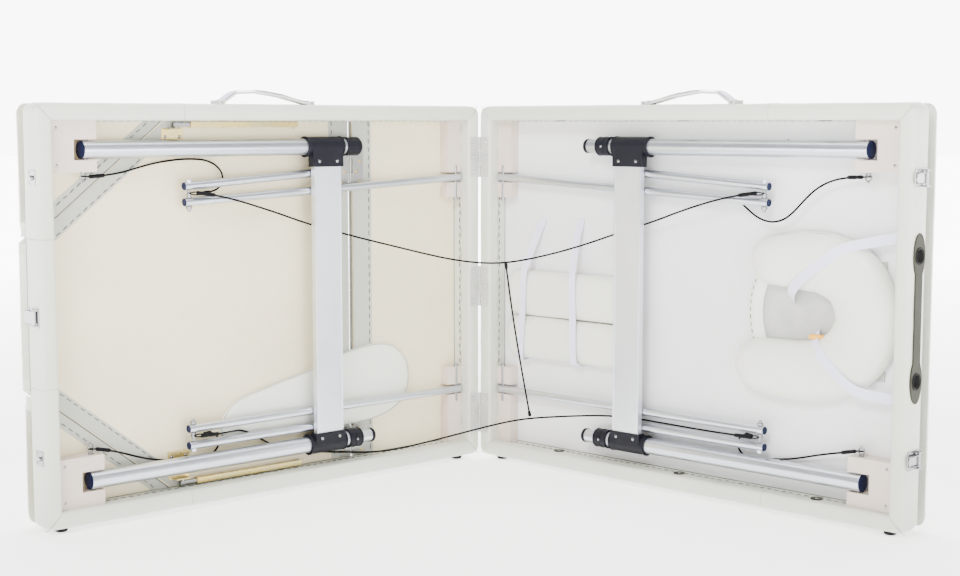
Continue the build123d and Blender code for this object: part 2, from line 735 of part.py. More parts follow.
# ---------------------------------------------------------------- coated steel cables
def arc_radii(points):
    """The radius at each inner point: 0.45 of the shorter run over the tangent of half the turn."""
    radii = []
    for a, b, c in zip(points, points[1:], points[2:]):
        p, q = Vector(*b) - Vector(*a), Vector(*c) - Vector(*b)
        turn = radians(p.get_angle(q))
        radii.append(0.45 * min(p.length, q.length) / tan(turn / 2))
    return radii


def report_route(label, points, radii):
    runs = [(Vector(*b) - Vector(*a)).length for a, b in zip(points, points[1:])]
    print(f"{label}: runs {[round(r) for r in runs]}")
    print(f"{label}: radii {[round(r) for r in radii]}")


def in_half(h, points):
    return [tuple(h.at(*p)) for p in points]


def in_air(points):
    """Points given as x and y from the fold's axis, and height on the panel."""
    return [(x, y + AXIS_Y, v + Z0) for x, y, v in points]


# each route is (u, v, w) on its half, or (x, y, v) where it crosses between them
TOP = (
    in_half(
        L,
        [
            (630, 545.5, 15), (598, 540.5, 12), (556, 530, 11.5), (512, 517, 12),
            (468, 503.5, 14.5), (426, 490, 19), (384, 477.5, 22),
        ],
    )
    + in_air(
        [
            (-258, -206, 463), (-210, -196, 449.5), (-157, -188, 436), (-102, -183, 422),
            (-48, -180, 410), (5, -179, 403.5), (52, -179.5, 404), (104, -182, 413),
            (157, -187, 426.5), (209, -196, 443), (258, -207, 461.5),
        ]
    )
    + in_half(
        R,
        [
            (384, 478, 22), (426, 491, 19), (468, 505, 14.5), (512, 519, 12), (556, 531.5, 11.5),
            (598, 541, 12), (630, 545.5, 15),
        ],
    )
)
BOTTOM = (
    in_half(
        L,
        [
            (630, 118.5, 15), (602, 118, 14.5), (574, 117.5, 20), (551, 115.5, 29),
            (529, 107, 34.5), (507, 94, 36.2), (482, 79.5, 39.5), (448, 65, 42.3), (404, 54, 42.8),
            (358, 46, 42), (312, 40, 38.5), (272, 35, 31),
        ],
    )
    + in_air(
        [
            (-185, -152, 35.5), (-142, -150, 43), (-98, -149, 53.5), (-55, -149.5, 65),
            (-12, -151.5, 77), (30, -155, 88.5), (68, -160, 98), (104, -166, 104),
            (148, -175.5, 108.5), (198, -183, 112), (241, -193.5, 114.5),
        ]
    )
    + in_half(
        R,
        [
            (368, 117.5, 22.5), (410, 117.8, 21), (456, 118, 17.5), (502, 118, 14.5),
            (548, 118.2, 13), (592, 118.4, 13), (630, 118.5, 15),
        ],
    )
)
CROSS = in_air([(53, -178.5, 399), (62, -175, 328), (78, -170.5, 226), (98.5, -166.2, 112)])
UPPER_LEFT = in_half(
    L,
    [
        (841, 579, 28), (812, 580.5, 29.5), (780, 584, 33), (748, 591, 37), (712, 599, 40),
        (672, 604, 41), (638, 605.5, 41), (610, 603.5, 40.6), (590, 596, 39.3), (577, 583, 37.8),
        (574, 568, 37), (581, 555, 36), (598, 547.5, 32.5), (622, 545.5, 28),
    ],
)
LOWER_LEFT = in_half(
    L,
    [
        (841, 121, 28), (812, 114, 30), (780, 103, 34), (748, 91, 38.5), (712, 81, 40.8),
        (672, 76, 41), (638, 75, 41), (614, 75.5, 40.8), (600, 80, 39.8), (592.3, 90.5, 38.8),
        (592.3, 103.5, 37.8), (600, 114, 36.5), (612.5, 118.3, 34), (625, 118.3, 29.5),
    ],
)
UPPER_RIGHT = in_half(
    R,
    [
        (841, 579, 28), (812, 578, 28.5), (780, 571.5, 27.5), (752, 557, 26.5), (730, 537, 26),
        (712, 518, 26), (692, 503, 26.5), (667, 496.5, 28), (641, 501, 31), (619, 511.5, 34.8),
        (600, 525, 37),
    ],
)
LOWER_RIGHT = in_half(
    R,
    [
        (841, 121, 28), (812, 114, 29), (780, 106.5, 31), (748, 97.5, 34.5), (716, 88, 38.5),
        (682, 81.5, 40.6), (648, 77.5, 41), (619, 75.3, 40.8), (605, 80, 39.8),
        (597.3, 90.5, 38.8), (597.3, 103.5, 37.8), (605, 114, 36.5), (617.5, 118.3, 34),
        (630, 118.3, 29.5),
    ],
)


ROUTES = {
    "top_cable": TOP,
    "bottom_cable": BOTTOM,
    "cross_cable": CROSS,
    "left_upper_cable": UPPER_LEFT,
    "left_lower_cable": LOWER_LEFT,
    "right_upper_cable": UPPER_RIGHT,
    "right_lower_cable": LOWER_RIGHT,
}
for label, points in ROUTES.items():
    report_route(label, points, arc_radii(points))

cables = {}
for label, points in ROUTES.items():
    with BuildPart() as cable:
        with BuildLine() as line:
            FilletPolyline(*points, radius=arc_radii(points))
        with BuildSketch(Plane(origin=line.line @ 0, z_dir=line.line % 0)):
            Circle(CABLE_D / 2)
        sweep(path=line.line)
    long = sum(e.length for e in line.edges())
    share = cable.part.volume / (pi * (CABLE_D / 2) ** 2 * long)
    print(f"{label}: length {long:.0f} mm, volume over section times length {share:.4f}")
    cables[label] = cable

# ---------------------------------------------------------------- labels and files
PIECES = {
    "left_rails": left_rails,
    "right_rails": right_rails,
    "left_panels": left_panels,
    "back_panel": back_panel,
    "right_panel": right_panel,
    "seat_cushion": seat_cushion,
    "back_cushion": back_cushion,
    "corner_pads": corner_pads,
    "head_cushion": head_cushion,
    "left_blocks": left_blocks,
    "right_blocks": right_blocks,
    "left_bolts": left_bolts,
    "right_bolts": right_bolts,
    "left_fold_leaves": left_fold_leaves,
    "right_fold_leaves": right_fold_leaves,
    "left_leg_tubes": left_leg_tubes,
    "right_leg_tubes": right_leg_tubes,
    "left_leg_plugs": left_leg_plugs,
    "right_leg_plugs": right_leg_plugs,
    "left_connectors": left_connectors,
    "right_connectors": right_connectors,
    "left_crossbar": left_crossbar,
    "right_crossbar": right_crossbar,
    "left_upper_foot": left_upper_foot,
    "left_lower_foot": left_lower_foot,
    "right_upper_foot": right_upper_foot,
    "right_lower_foot": right_lower_foot,
    "left_long_struts": left_long_struts,
    "right_long_struts": right_long_struts,
    "left_short_struts": left_short_struts,
    "right_short_struts": right_short_struts,
    "left_knee_bolts": left_knee_bolts,
    "right_knee_bolts": right_knee_bolts,
    "back_leaves_fixed": back_leaves_fixed,
    "back_leaves_moving": back_leaves_moving,
    "support_channels": support_channels,
    "support_slides": support_slides,
    "support_plates": support_plates,
    "left_end_hardware": left_end_hardware,
    "backrest_latch_lever": backrest_latch_lever,
    "right_latch_bases": right_latch_bases,
    "upper_latch_lever": upper_latch_lever,
    "lower_latch_lever": lower_latch_lever,
    "left_handle": left_handle,
    "right_handle": right_handle,
    "left_bumpers": left_bumpers,
    "right_bumpers": right_bumpers,
    "arm_pads": arm_pads,
    "bolster": bolster,
    "cradle_pad": cradle_pad,
    "cradle_platform": cradle_platform,
    "straps": straps,
    "grip_plate_and_grommets": grip_plate_and_grommets,
    **cables,
}
for label, piece in PIECES.items():
    piece.part.label = label
    export_step(piece.part, f"parts/{label}.step")
print(len(PIECES), "nodes")
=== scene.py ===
"""A folding massage table standing half open on one long side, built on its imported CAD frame."""
import json
from math import cos, pi, radians, sin, sqrt

import bmesh
import bpy
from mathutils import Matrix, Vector, noise


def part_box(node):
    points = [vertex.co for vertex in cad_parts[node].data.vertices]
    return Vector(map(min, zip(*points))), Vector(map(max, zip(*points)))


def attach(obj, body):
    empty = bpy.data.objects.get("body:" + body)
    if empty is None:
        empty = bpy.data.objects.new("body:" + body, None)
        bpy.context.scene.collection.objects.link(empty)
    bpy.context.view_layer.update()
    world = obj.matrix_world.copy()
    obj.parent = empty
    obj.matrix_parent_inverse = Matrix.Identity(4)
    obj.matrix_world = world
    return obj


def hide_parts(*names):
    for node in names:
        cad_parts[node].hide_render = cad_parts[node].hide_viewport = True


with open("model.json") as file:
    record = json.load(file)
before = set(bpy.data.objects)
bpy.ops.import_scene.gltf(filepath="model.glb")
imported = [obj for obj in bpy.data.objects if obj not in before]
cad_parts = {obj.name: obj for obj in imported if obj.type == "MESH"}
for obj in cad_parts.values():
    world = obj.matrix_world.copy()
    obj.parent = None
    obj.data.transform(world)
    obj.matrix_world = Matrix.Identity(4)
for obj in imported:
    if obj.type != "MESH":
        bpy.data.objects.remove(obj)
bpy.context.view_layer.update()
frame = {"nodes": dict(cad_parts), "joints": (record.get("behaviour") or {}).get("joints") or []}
joints = {j["name"]: j for j in frame["joints"]}
MM = 0.001

# ---------------------------------------------------------------- camera
camera = bpy.data.objects.new("camera", bpy.data.cameras.new("camera"))
bpy.context.collection.objects.link(camera)
camera.location = (0.0459, -2.881, 0.6785)
camera.rotation_euler = (radians(84.02), 0, radians(0.81))
camera.data.lens = 59.475
bpy.context.scene.camera = camera


# ---------------------------------------------------------------- the two halves' own axes
class Half:
    """Millimetres: u from the fold outwards, v up from the standing side, w from the lips to the cushion."""

    def __init__(self, name, s):
        self.name, self.s = name, s
        self.out = -Vector(joints[f"{name}_lower_foot_slide"]["axis"])
        self.n = Vector((s * self.out.y, -s * self.out.x, 0))
        fold = joints["fold"]["pos_m"]
        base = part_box(f"{name}_rails")[0].z
        self.origin = Vector((fold[0], fold[1], base)) + self.n * 0.0016

    def at(self, u, v, w):
        return self.origin + (self.out * u + Vector((0, 0, v)) + self.n * w) * MM


L, R = Half("left", 1), Half("right", -1)
HALVES = (L, R)
END, WIDTH, RAIL, DEPTH, BACK = 945, 700, 28, 46, 92
LEG_V, LEG_W = (624, 70), 21
KNEE_U, STRUT_W, STRUT_R = 651.9, 25, 7.5
LONG_V, SHORT_V = ((560, 531), (134, 132)), ((578, 559), (102, 102))


# ---------------------------------------------------------------- materials
def principled(name, color, rough, metallic=0.0, coat=0.0, sheen=0.0, ior=1.5):
    mat = bpy.data.materials.new(name)
    mat.use_nodes = True
    tree = mat.node_tree
    shader = tree.nodes["Principled BSDF"]
    shader.inputs["Base Color"].default_value = (*color, 1)
    shader.inputs["Roughness"].default_value = rough
    shader.inputs["Metallic"].default_value = metallic
    shader.inputs["Coat Weight"].default_value = coat
    shader.inputs["Coat Roughness"].default_value = 0.25
    shader.inputs["Sheen Weight"].default_value = sheen
    shader.inputs["IOR"].default_value = ior
    return mat, tree, shader


def link(tree, a, b):
    tree.links.new(a, b)


def coords(tree, stretch=(1, 1, 1), turn=None, uv=False):
    source = tree.nodes.new("ShaderNodeTexCoord")
    mapping = tree.nodes.new("ShaderNodeMapping")
    mapping.vector_type = "TEXTURE"
    mapping.inputs["Scale"].default_value = [1 / x for x in stretch]
    if turn is not None:
        mapping.inputs["Rotation"].default_value = turn
    link(tree, source.outputs["UV" if uv else "Object"], mapping.inputs["Vector"])
    return mapping.outputs["Vector"]


def noise_tex(tree, vector, scale, detail=4.0, rough=0.55):
    n = tree.nodes.new("ShaderNodeTexNoise")
    n.inputs["Scale"].default_value = scale
    n.inputs["Detail"].default_value = detail
    n.inputs["Roughness"].default_value = rough
    link(tree, vector, n.inputs["Vector"])
    return n.outputs["Fac"]


def cells(tree, vector, scale, feature="F1"):
    n = tree.nodes.new("ShaderNodeTexVoronoi")
    n.feature = feature
    n.inputs["Scale"].default_value = scale
    link(tree, vector, n.inputs["Vector"])
    return n.outputs["Distance"]


def ramp(tree, fac, low, high, a=0.3, b=0.7):
    n = tree.nodes.new("ShaderNodeValToRGB")
    n.color_ramp.elements[0].position, n.color_ramp.elements[1].position = a, b
    n.color_ramp.elements[0].color = (*low, 1) if hasattr(low, "__len__") else (low, low, low, 1)
    n.color_ramp.elements[1].color = (*high, 1) if hasattr(high, "__len__") else (high, high, high, 1)
    link(tree, fac, n.inputs["Fac"])
    return n.outputs["Color"]


def bumps(tree, shader, layers, edge=0.0):
    """layers: (height, distance in mm, strength). edge: rounding of sharp edges in mm."""
    normal = None
    if edge:
        bevel = tree.nodes.new("ShaderNodeBevel")
        bevel.samples = 4
        bevel.inputs["Radius"].default_value = edge * MM
        normal = bevel.outputs["Normal"]
    for height, distance, strength in layers:
        b = tree.nodes.new("ShaderNodeBump")
        b.inputs["Strength"].default_value = strength
        b.inputs["Distance"].default_value = distance * MM
        link(tree, height, b.inputs["Height"])
        if normal:
            link(tree, normal, b.inputs["Normal"])
        normal = b.outputs["Normal"]
    if normal:
        link(tree, normal, shader.inputs["Normal"])


def scaled(color, k):
    return tuple(c * k for c in color)


def leather(name, color, grain=900, coat=0.12, rough=(0.36, 0.52), wrinkle=0.25):
    mat, tree, shader = principled(name, color, 0.45, coat=coat)
    p = coords(tree)
    mottle = noise_tex(tree, p, 9, 5)
    pores = cells(tree, p, grain)
    creases = noise_tex(tree, p, 60, 6, 0.62)
    link(
        tree, ramp(tree, mottle, scaled(color, 0.95), scaled(color, 1.02), 0.35, 0.7),
        shader.inputs["Base Color"]
    )
    link(tree, ramp(tree, creases, rough[0], rough[1]), shader.inputs["Roughness"])
    bumps(tree, shader, [(mottle, 3, 0.12), (creases, 0.5, wrinkle), (pores, 0.12, 0.35)])
    return mat


def board(name, color, streak=(1, 1, 14), rough=0.5, cloudy=0.955):
    """Smooth laminated plywood: faint cloudy tone and long faint grain."""
    mat, tree, shader = principled(name, color, rough)
    p, q = coords(tree), coords(tree, streak)
    cloud, grain = noise_tex(tree, p, 3.2, 5), noise_tex(tree, q, 46, 6)
    mix = tree.nodes.new("ShaderNodeMix")
    mix.data_type = "RGBA"
    mix.blend_type = "MULTIPLY"
    mix.inputs["Factor"].default_value = 1
    link(tree, ramp(tree, cloud, scaled(color, cloudy), scaled(color, 1.02), 0.35, 0.68), mix.inputs[6])
    link(tree, ramp(tree, grain, (0.965, 0.955, 0.94), (1, 1, 1), 0.38, 0.6), mix.inputs[7])
    link(tree, mix.outputs[2], shader.inputs["Base Color"])
    link(tree, ramp(tree, grain, rough - 0.07, rough + 0.07), shader.inputs["Roughness"])
    bumps(tree, shader, [(grain, 0.15, 0.2), (noise_tex(tree, p, 300, 2), 0.05, 0.15)], edge=0.8)
    return mat


def metal(name, color, rough, axis=None, edge=0.5, fine=0.12, tint=None, coat=0.0):
    """axis: the direction that drawing or brushing lines run in."""
    mat, tree, shader = principled(name, color, rough, metallic=1.0, coat=coat)
    if axis is None:
        p = coords(tree)
    else:
        turn = Vector(axis).to_track_quat("X", "Z").to_euler()
        p = coords(tree, (1, 90, 90), turn)
    q = coords(tree)
    lines = noise_tex(tree, p, 14 if axis is not None else 260, 5)
    cloud = noise_tex(tree, q, 17, 4)
    link(
        tree, ramp(tree, cloud, tint or scaled(color, 0.93), color, 0.32, 0.66),
        shader.inputs["Base Color"]
    )
    link(tree, ramp(tree, lines, rough * 0.8, rough * 1.25), shader.inputs["Roughness"])
    bumps(tree, shader, [(lines, 0.03, fine)], edge=edge)
    return mat


def plastic(name, color, rough, grain=500, depth=0.25, edge=0.7, ior=1.5):
    mat, tree, shader = principled(name, color, rough, ior=ior)
    p = coords(tree)
    cloud, fine = noise_tex(tree, p, 22, 4), noise_tex(tree, p, grain, 3)
    link(
        tree, ramp(tree, cloud, scaled(color, 0.86), scaled(color, 1.1), 0.3, 0.7),
        shader.inputs["Base Color"]
    )
    link(tree, ramp(tree, fine, rough - 0.06, rough + 0.08), shader.inputs["Roughness"])
    bumps(tree, shader, [(fine, 0.08, depth)], edge=edge)
    return mat


def woven(name, color, pitch=1.1, ribs=6.0):
    """Elastic webbing. Its UVs are in millimetres: along, across."""
    mat, tree, shader = principled(name, color, 0.75, sheen=0.3)
    p = coords(tree, uv=True)

    def wave(direction, step):
        w = tree.nodes.new("ShaderNodeTexWave")
        w.bands_direction = direction
        w.inputs["Scale"].default_value = 2 * pi / (20 * step)
        w.inputs["Distortion"].default_value = 0.6
        w.inputs["Detail"].default_value = 1
        link(tree, p, w.inputs["Vector"])
        return w.outputs["Fac"]

    across, along = wave("X", pitch), wave("Y", pitch * 1.3)
    blend = tree.nodes.new("ShaderNodeMath")
    blend.operation = "MULTIPLY"
    link(tree, across, blend.inputs[0])
    link(tree, along, blend.inputs[1])
    link(
        tree, ramp(tree, blend.outputs[0], scaled(color, 0.86), scaled(color, 1.03), 0.0, 0.6),
        shader.inputs["Base Color"]
    )
    link(tree, ramp(tree, noise_tex(tree, coords(tree), 120), 0.68, 0.85), shader.inputs["Roughness"])
    bumps(tree, shader, [(blend.outputs[0], 0.35, 0.5)])
    return mat


IVORY = (0.60, 0.61, 0.525)
M = {
    "leather": leather("ivory_leather", IVORY),
    "pad": leather("pad_leather", (0.77, 0.775, 0.69), 1000, 0.12, (0.34, 0.48)),
    "band": leather("turned_leather", (0.42, 0.425, 0.37), 1000, 0.03, (0.5, 0.65), 0.4),
    "cream": board("cream_board", (0.84, 0.75, 0.52), cloudy=0.88),
    "white": board("white_board", (0.80, 0.80, 0.81)),
    "block": board("painted_block", (0.64, 0.54, 0.47), (1, 1, 6), 0.55),
    "tube_left": metal("aluminium_left", (0.60, 0.625, 0.68), 0.3, L.out, fine=0.05),
    "tube_right": metal("aluminium_right", (0.60, 0.625, 0.68), 0.3, R.out, fine=0.05),
    "bar": metal("aluminium_bar", (0.72, 0.74, 0.79), 0.4, (0, 0, 1), fine=0.1),
    "zinc": metal("zinc", (0.27, 0.27, 0.28), 0.2, fine=0.05),
    "leaf": plastic("painted_leaf", (0.47, 0.47, 0.43), 0.4, 300),
    "back_leaf": metal("nickel_leaf", (0.38, 0.38, 0.36), 0.34),
    "brass": metal("brass_screw", (0.62, 0.44, 0.16), 0.3),
    "gold": metal("yellow_zinc", (0.68, 0.51, 0.17), 0.3, fine=0.03, tint=(0.50, 0.44, 0.22)),
    "chrome": metal("chrome", (0.30, 0.30, 0.31), 0.1, fine=0.03, edge=0.6),
    "dark": plastic("dark_moulding", (0.006, 0.006, 0.010), 0.42, 420, ior=1.24),
    "navy": plastic("navy_plug", (0.006, 0.009, 0.035), 0.45, 500, ior=1.22),
    "olive": plastic("olive_moulding", (0.034, 0.034, 0.024), 0.55, 380, depth=0.4, ior=1.22),
    # the cradle platform is pale grey plastic, made darker here as painted shade for the inside of the cradle's
    # slot
    "platform": plastic("pale_platform", (0.46, 0.46, 0.43), 0.55, 380),
    "black": plastic("black_moulding", (0.006, 0.006, 0.006), 0.55, 380, ior=1.2),
    "rubber": plastic("rubber", (0.010, 0.010, 0.012), 0.7, 700, depth=0.5, ior=1.25),
    "wire": plastic("coated_wire", (0.003, 0.003, 0.004), 0.45, 700, edge=0, ior=1.2),
    "handle": plastic("white_handle", (0.60, 0.60, 0.58), 0.42, 400),
    "elastic": woven("white_elastic", (0.78, 0.78, 0.97)),
    "thread": plastic("grey_thread", (0.075, 0.075, 0.065), 0.6, 900),
    "shade": plastic("seam_shadow", (0.16, 0.16, 0.14), 0.8, 300),
    "amber": plastic("amber_foam", (0.85, 0.42, 0.03), 0.8, 300),
}
CARRIED = {
    "left_panels": "cream", "back_panel": "cream", "right_panel": "white",
    "left_blocks": "block", "right_blocks": "block",
    "left_bolts": "zinc", "right_bolts": "zinc", "left_knee_bolts": "zinc", "right_knee_bolts": "zinc",
    "left_fold_leaves": "leaf", "right_fold_leaves": "leaf",
    "back_leaves_fixed": "back_leaf", "back_leaves_moving": "back_leaf",
    "left_leg_tubes": "tube_left", "left_upper_foot": "tube_left", "left_lower_foot": "tube_left",
    "left_long_struts": "tube_left", "left_short_struts": "tube_left",
    "right_leg_tubes": "tube_right", "right_upper_foot": "tube_right", "right_lower_foot": "tube_right",
    "right_long_struts": "tube_right", "right_short_struts": "tube_right",
    "left_crossbar": "bar", "right_crossbar": "bar",
    "left_leg_plugs": "navy", "right_leg_plugs": "navy",
    "left_connectors": "dark", "right_connectors": "dark",
    "support_channels": "gold", "support_plates": "gold", "support_slides": "zinc",
    "left_end_hardware": "chrome", "right_latch_bases": "chrome", "backrest_latch_lever": "chrome",
    "upper_latch_lever": "chrome", "lower_latch_lever": "chrome",
    "left_bumpers": "rubber", "right_bumpers": "rubber",
    "cradle_platform": "platform", "grip_plate_and_grommets": "olive",
    "left_handle": "handle", "right_handle": "handle",
}
for node, key in CARRIED.items():
    node_mesh = frame["nodes"][node].data
    node_mesh.materials.clear()
    node_mesh.materials.append(M[key])


# ---------------------------------------------------------------- shape building, in a half's millimetres
class Shape:
    def __init__(self, half):
        self.h, self.bm = half, bmesh.new()
        self.uv = None

    def points(self, points):
        return [self.bm.verts.new(self.h.at(*p)) for p in points]

    def merge(self, part):
        new = {v: self.bm.verts.new(self.h.at(*v.co)) for v in part.verts}
        for f in part.faces:
            self.bm.faces.new([new[v] for v in f.verts])
        part.free()

    def box(self, u, v, w, r=0.6, segments=2):
        part = bmesh.new()
        bmesh.ops.create_cube(part, size=1)
        middle = Vector([(a + b) / 2 for a, b in (u, v, w)])
        size = Vector([abs(b - a) for a, b in (u, v, w)])
        for x in part.verts:
            x.co = middle + Vector([x.co[i] * size[i] for i in range(3)])
        if r:
            bmesh.ops.bevel(
                part, geom=part.edges[:], offset=min(r, min(size) * 0.45), segments=segments,
                affect="EDGES", profile=0.5
            )
        self.merge(part)

    def loft(self, rings, close=True, caps=(True, True)):
        rows = [self.points(r) for r in rings]
        n = len(rows[0])
        for a, b in zip(rows, rows[1:]):
            for i in range(n if close else n - 1):
                j = (i + 1) % n
                self.bm.faces.new((a[i], a[j], b[j], b[i]))
        if caps[0]:
            self.bm.faces.new(rows[0][::-1])
        if caps[1]:
            self.bm.faces.new(rows[-1])
        return rows

    def turned(self, start, towards, outline, n=24):
        """A lathed form: outline is (distance from start, radius), in mm."""
        a = Vector(start)
        axis = (Vector(towards) - a).normalized()
        side = axis.orthogonal().normalized()
        other = axis.cross(side)
        rings = []
        for x, r in outline:
            r = max(r, 0.01)
            rings.append(
                [
                    tuple(a + axis * x + (side * cos(t) + other * sin(t)) * r)
                    for t in [2 * pi * i / n for i in range(n)]
                ]
            )
        self.loft(rings)

    def rod(self, a, b, r, n=20, soft=0.4):
        long = (Vector(b) - Vector(a)).length
        self.turned(
            a, b,
            [
                (0, r - soft), (soft * 0.3, r - soft * 0.3), (soft, r), (long - soft, r),
                (long - soft * 0.3, r - soft * 0.3), (long, r - soft)
            ],
            n
        )

    def tube(self, path, r, n=10, end=True):
        """A round bar along a list of points, r a number or one for each point."""
        path = [Vector(p) for p in path]
        rings, side = [], None
        for i, p in enumerate(path):
            t = (path[min(i + 1, len(path) - 1)] - path[max(i - 1, 0)]).normalized()
            side = (side - t * side.dot(t)).normalized() if side else t.orthogonal().normalized()
            other = t.cross(side)
            q = r[i] if hasattr(r, "__len__") else r
            rings.append(
                [
                    tuple(p + (side * cos(a) + other * sin(a)) * q)
                    for a in [2 * pi * k / n for k in range(n)]
                ]
            )
        self.loft(rings, caps=(end, end))

    def band(self, path, width, thick=1.2, facing=(0, 0, -1)):
        """Flat webbing along a list of points, its face turned to facing."""
        path, out = [Vector(p) for p in path], Vector(facing)
        if self.uv is None:
            self.uv = self.bm.loops.layers.uv.new("UVMap")
        rings, ran, stations = [], 0.0, []
        for i, p in enumerate(path):
            t = (path[min(i + 1, len(path) - 1)] - path[max(i - 1, 0)]).normalized()
            across = t.cross(out).normalized()
            up = across.cross(t).normalized()
            ran += (p - path[i - 1]).length if i else 0
            stations.append(ran)
            half, hh = width / 2, thick / 2
            ring = [
                (-half, -hh), (-half, hh), (-half * 0.5, hh * 1.1), (0, hh * 1.15),
                (half * 0.5, hh * 1.1), (half, hh), (half, -hh), (0, -hh)
            ]
            rings.append([tuple(p + across * a + up * b) for a, b in ring])
        first = len(self.bm.faces)
        rows = self.loft(rings)
        place = {v: (stations[i], k * width / 8) for i, row in enumerate(rows) for k, v in enumerate(row)}
        self.bm.faces.ensure_lookup_table()
        for f in self.bm.faces[first:]:
            for loop in f.loops:
                loop[self.uv].uv = place[loop.vert]

    def done(self, name, material, body, slot=None, angle=38, double=0.0):
        if double:
            bmesh.ops.remove_doubles(self.bm, verts=self.bm.verts[:], dist=double * MM)
        bmesh.ops.recalc_face_normals(self.bm, faces=self.bm.faces[:])
        for f in self.bm.faces:
            f.smooth = True
        for e in self.bm.edges:
            e.smooth = len(e.link_faces) != 2 or e.calc_face_angle() < radians(angle)
        mesh = bpy.data.meshes.new(name)
        self.bm.to_mesh(mesh)
        self.bm.free()
        piece = bpy.data.objects.new(name, mesh)
        bpy.context.collection.objects.link(piece)
        mesh.materials.append(M[material])
        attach(piece, body)
        return piece


def spaced(path, step, start=0.0):
    """Points a step apart along a list of points, with the direction at each."""
    path = [Vector(p) for p in path]
    found, ran = [], 0.0
    want = start
    for a, b in zip(path, path[1:]):
        long = (b - a).length
        while want <= ran + long and long > 0:
            found.append((a + (b - a) * ((want - ran) / long), (b - a).normalized()))
            want += step
        ran += long
    return found


def smooth_line(points, per=8, closed=False):
    """A Catmull-Rom line through the points."""
    pts = [Vector(p) for p in points]
    n = len(pts)
    out = []
    for i in range(n if closed else n - 1):
        a, b, c, d = [pts[(i + k) % n] if closed else pts[min(max(i + k, 0), n - 1)] for k in (-1, 0, 1, 2)]
        for j in range(per):
            t = j / per
            out.append(
                0.5 * (
                    2 * b + (c - a) * t + (2 * a - 5 * b + 4 * c - d) * t * t + (3 * b - a - 3 * c + d) * t ** 3
                )
            )
    if not closed:
        out.append(pts[-1])
    return out


def ruffle(shape, amount, scale, seed=0.0):
    """Moves every point along its normal by a slow noise: amount in mm, scale per metre."""
    shape.bm.normal_update()
    offset = Vector((seed, seed * 1.7, -seed))
    moves = [(v, v.normal * noise.noise(v.co * scale + offset) * amount * MM) for v in shape.bm.verts]
    for v, m in moves:
        v.co += m


# ---------------------------------------------------------------- coated steel cables
def in_half(h, points):
    return [h.at(*p) for p in points]


def in_air(points):
    """x and y from the fold's pin, and height above the standing side, in mm."""
    fold = joints["fold"]["pos_m"]
    base = L.origin.z
    return [Vector((fold[0] + x * MM, fold[1] + y * MM, base + v * MM)) for x, y, v in points]


ROUTES = {
    "top_cable": in_half(
        L,
        [
            (630, 545.5, 15), (598, 540.5, 12), (556, 530, 11.5), (512, 517, 12), (468, 503.5, 14.5),
            (426, 490, 19), (384, 477.5, 22)
        ]
    )
    + in_air(
        [
            (-258, -206, 463), (-210, -196, 449.5), (-157, -188, 436), (-102, -183, 422),
            (-48, -180, 410), (5, -179, 403.5), (52, -179.5, 404), (104, -182, 413),
            (157, -187, 426.5), (209, -196, 443), (258, -207, 461.5)
        ]
    )
    + in_half(
        R,
        [
            (384, 478, 22), (426, 491, 19), (468, 505, 14.5), (512, 519, 12), (556, 531.5, 11.5),
            (598, 541, 12), (630, 545.5, 15)
        ]
    ),
    "bottom_cable": in_half(
        L,
        [
            (630, 118.5, 15), (602, 118, 14.5), (574, 117.5, 20), (551, 115.5, 29), (529, 107, 34.5),
            (507, 94, 36.2), (482, 79.5, 39.5), (448, 65, 42.3), (404, 54, 42.8), (358, 46, 42),
            (312, 40, 38.5), (272, 35, 31)
        ]
    )
    + in_air(
        [
            (-185, -152, 35.5), (-142, -150, 43), (-98, -149, 53.5), (-55, -149.5, 65),
            (-12, -151.5, 77), (30, -155, 88.5), (68, -160, 98), (104, -166, 104),
            (148, -175.5, 108.5), (198, -183, 112), (241, -193.5, 114.5)
        ]
    )
    + in_half(
        R,
        [
            (368, 117.5, 22.5), (410, 117.8, 21), (456, 118, 17.5), (502, 118, 14.5),
            (548, 118.2, 13), (592, 118.4, 13), (630, 118.5, 15)
        ]
    ),
    "cross_cable": in_air([(53, -178.5, 399), (62, -175, 328), (78, -170.5, 226), (98.5, -166.2, 112)]),
    "left_upper_cable": in_half(
        L,
        [
            (841, 579, 28), (812, 580.5, 29.5), (780, 584, 33), (748, 591, 37), (712, 599, 40),
            (672, 604, 41), (638, 605.5, 41), (610, 603.5, 40.6), (590, 596, 39.3), (577, 583, 37.8),
            (574, 568, 37), (581, 555, 36), (598, 547.5, 32.5), (622, 545.5, 28)
        ]
    ),
    "left_lower_cable": in_half(
        L,
        [
            (841, 121, 28), (812, 114, 30), (780, 103, 34), (748, 91, 38.5), (712, 81, 40.8),
            (672, 76, 41), (638, 75, 41), (614, 75.5, 40.8), (600, 80, 39.8), (592.3, 90.5, 38.8),
            (592.3, 103.5, 37.8), (600, 114, 36.5), (612.5, 118.3, 34), (625, 118.3, 29.5)
        ]
    ),
    "right_upper_cable": in_half(
        R,
        [
            (841, 579, 28), (812, 578, 28.5), (780, 571.5, 27.5), (752, 557, 26.5), (730, 537, 26),
            (712, 518, 26), (692, 503, 26.5), (667, 496.5, 28), (641, 501, 31), (619, 511.5, 34.8),
            (600, 525, 37)
        ]
    ),
    "right_lower_cable": in_half(
        R,
        [
            (841, 121, 28), (812, 114, 29), (780, 106.5, 31), (748, 97.5, 34.5), (716, 88, 38.5),
            (682, 81.5, 40.6), (648, 77.5, 41), (619, 75.3, 40.8), (605, 80, 39.8),
            (597.3, 90.5, 38.8), (597.3, 103.5, 37.8), (605, 114, 36.5), (617.5, 118.3, 34),
            (630, 118.3, 29.5)
        ]
    ),
}


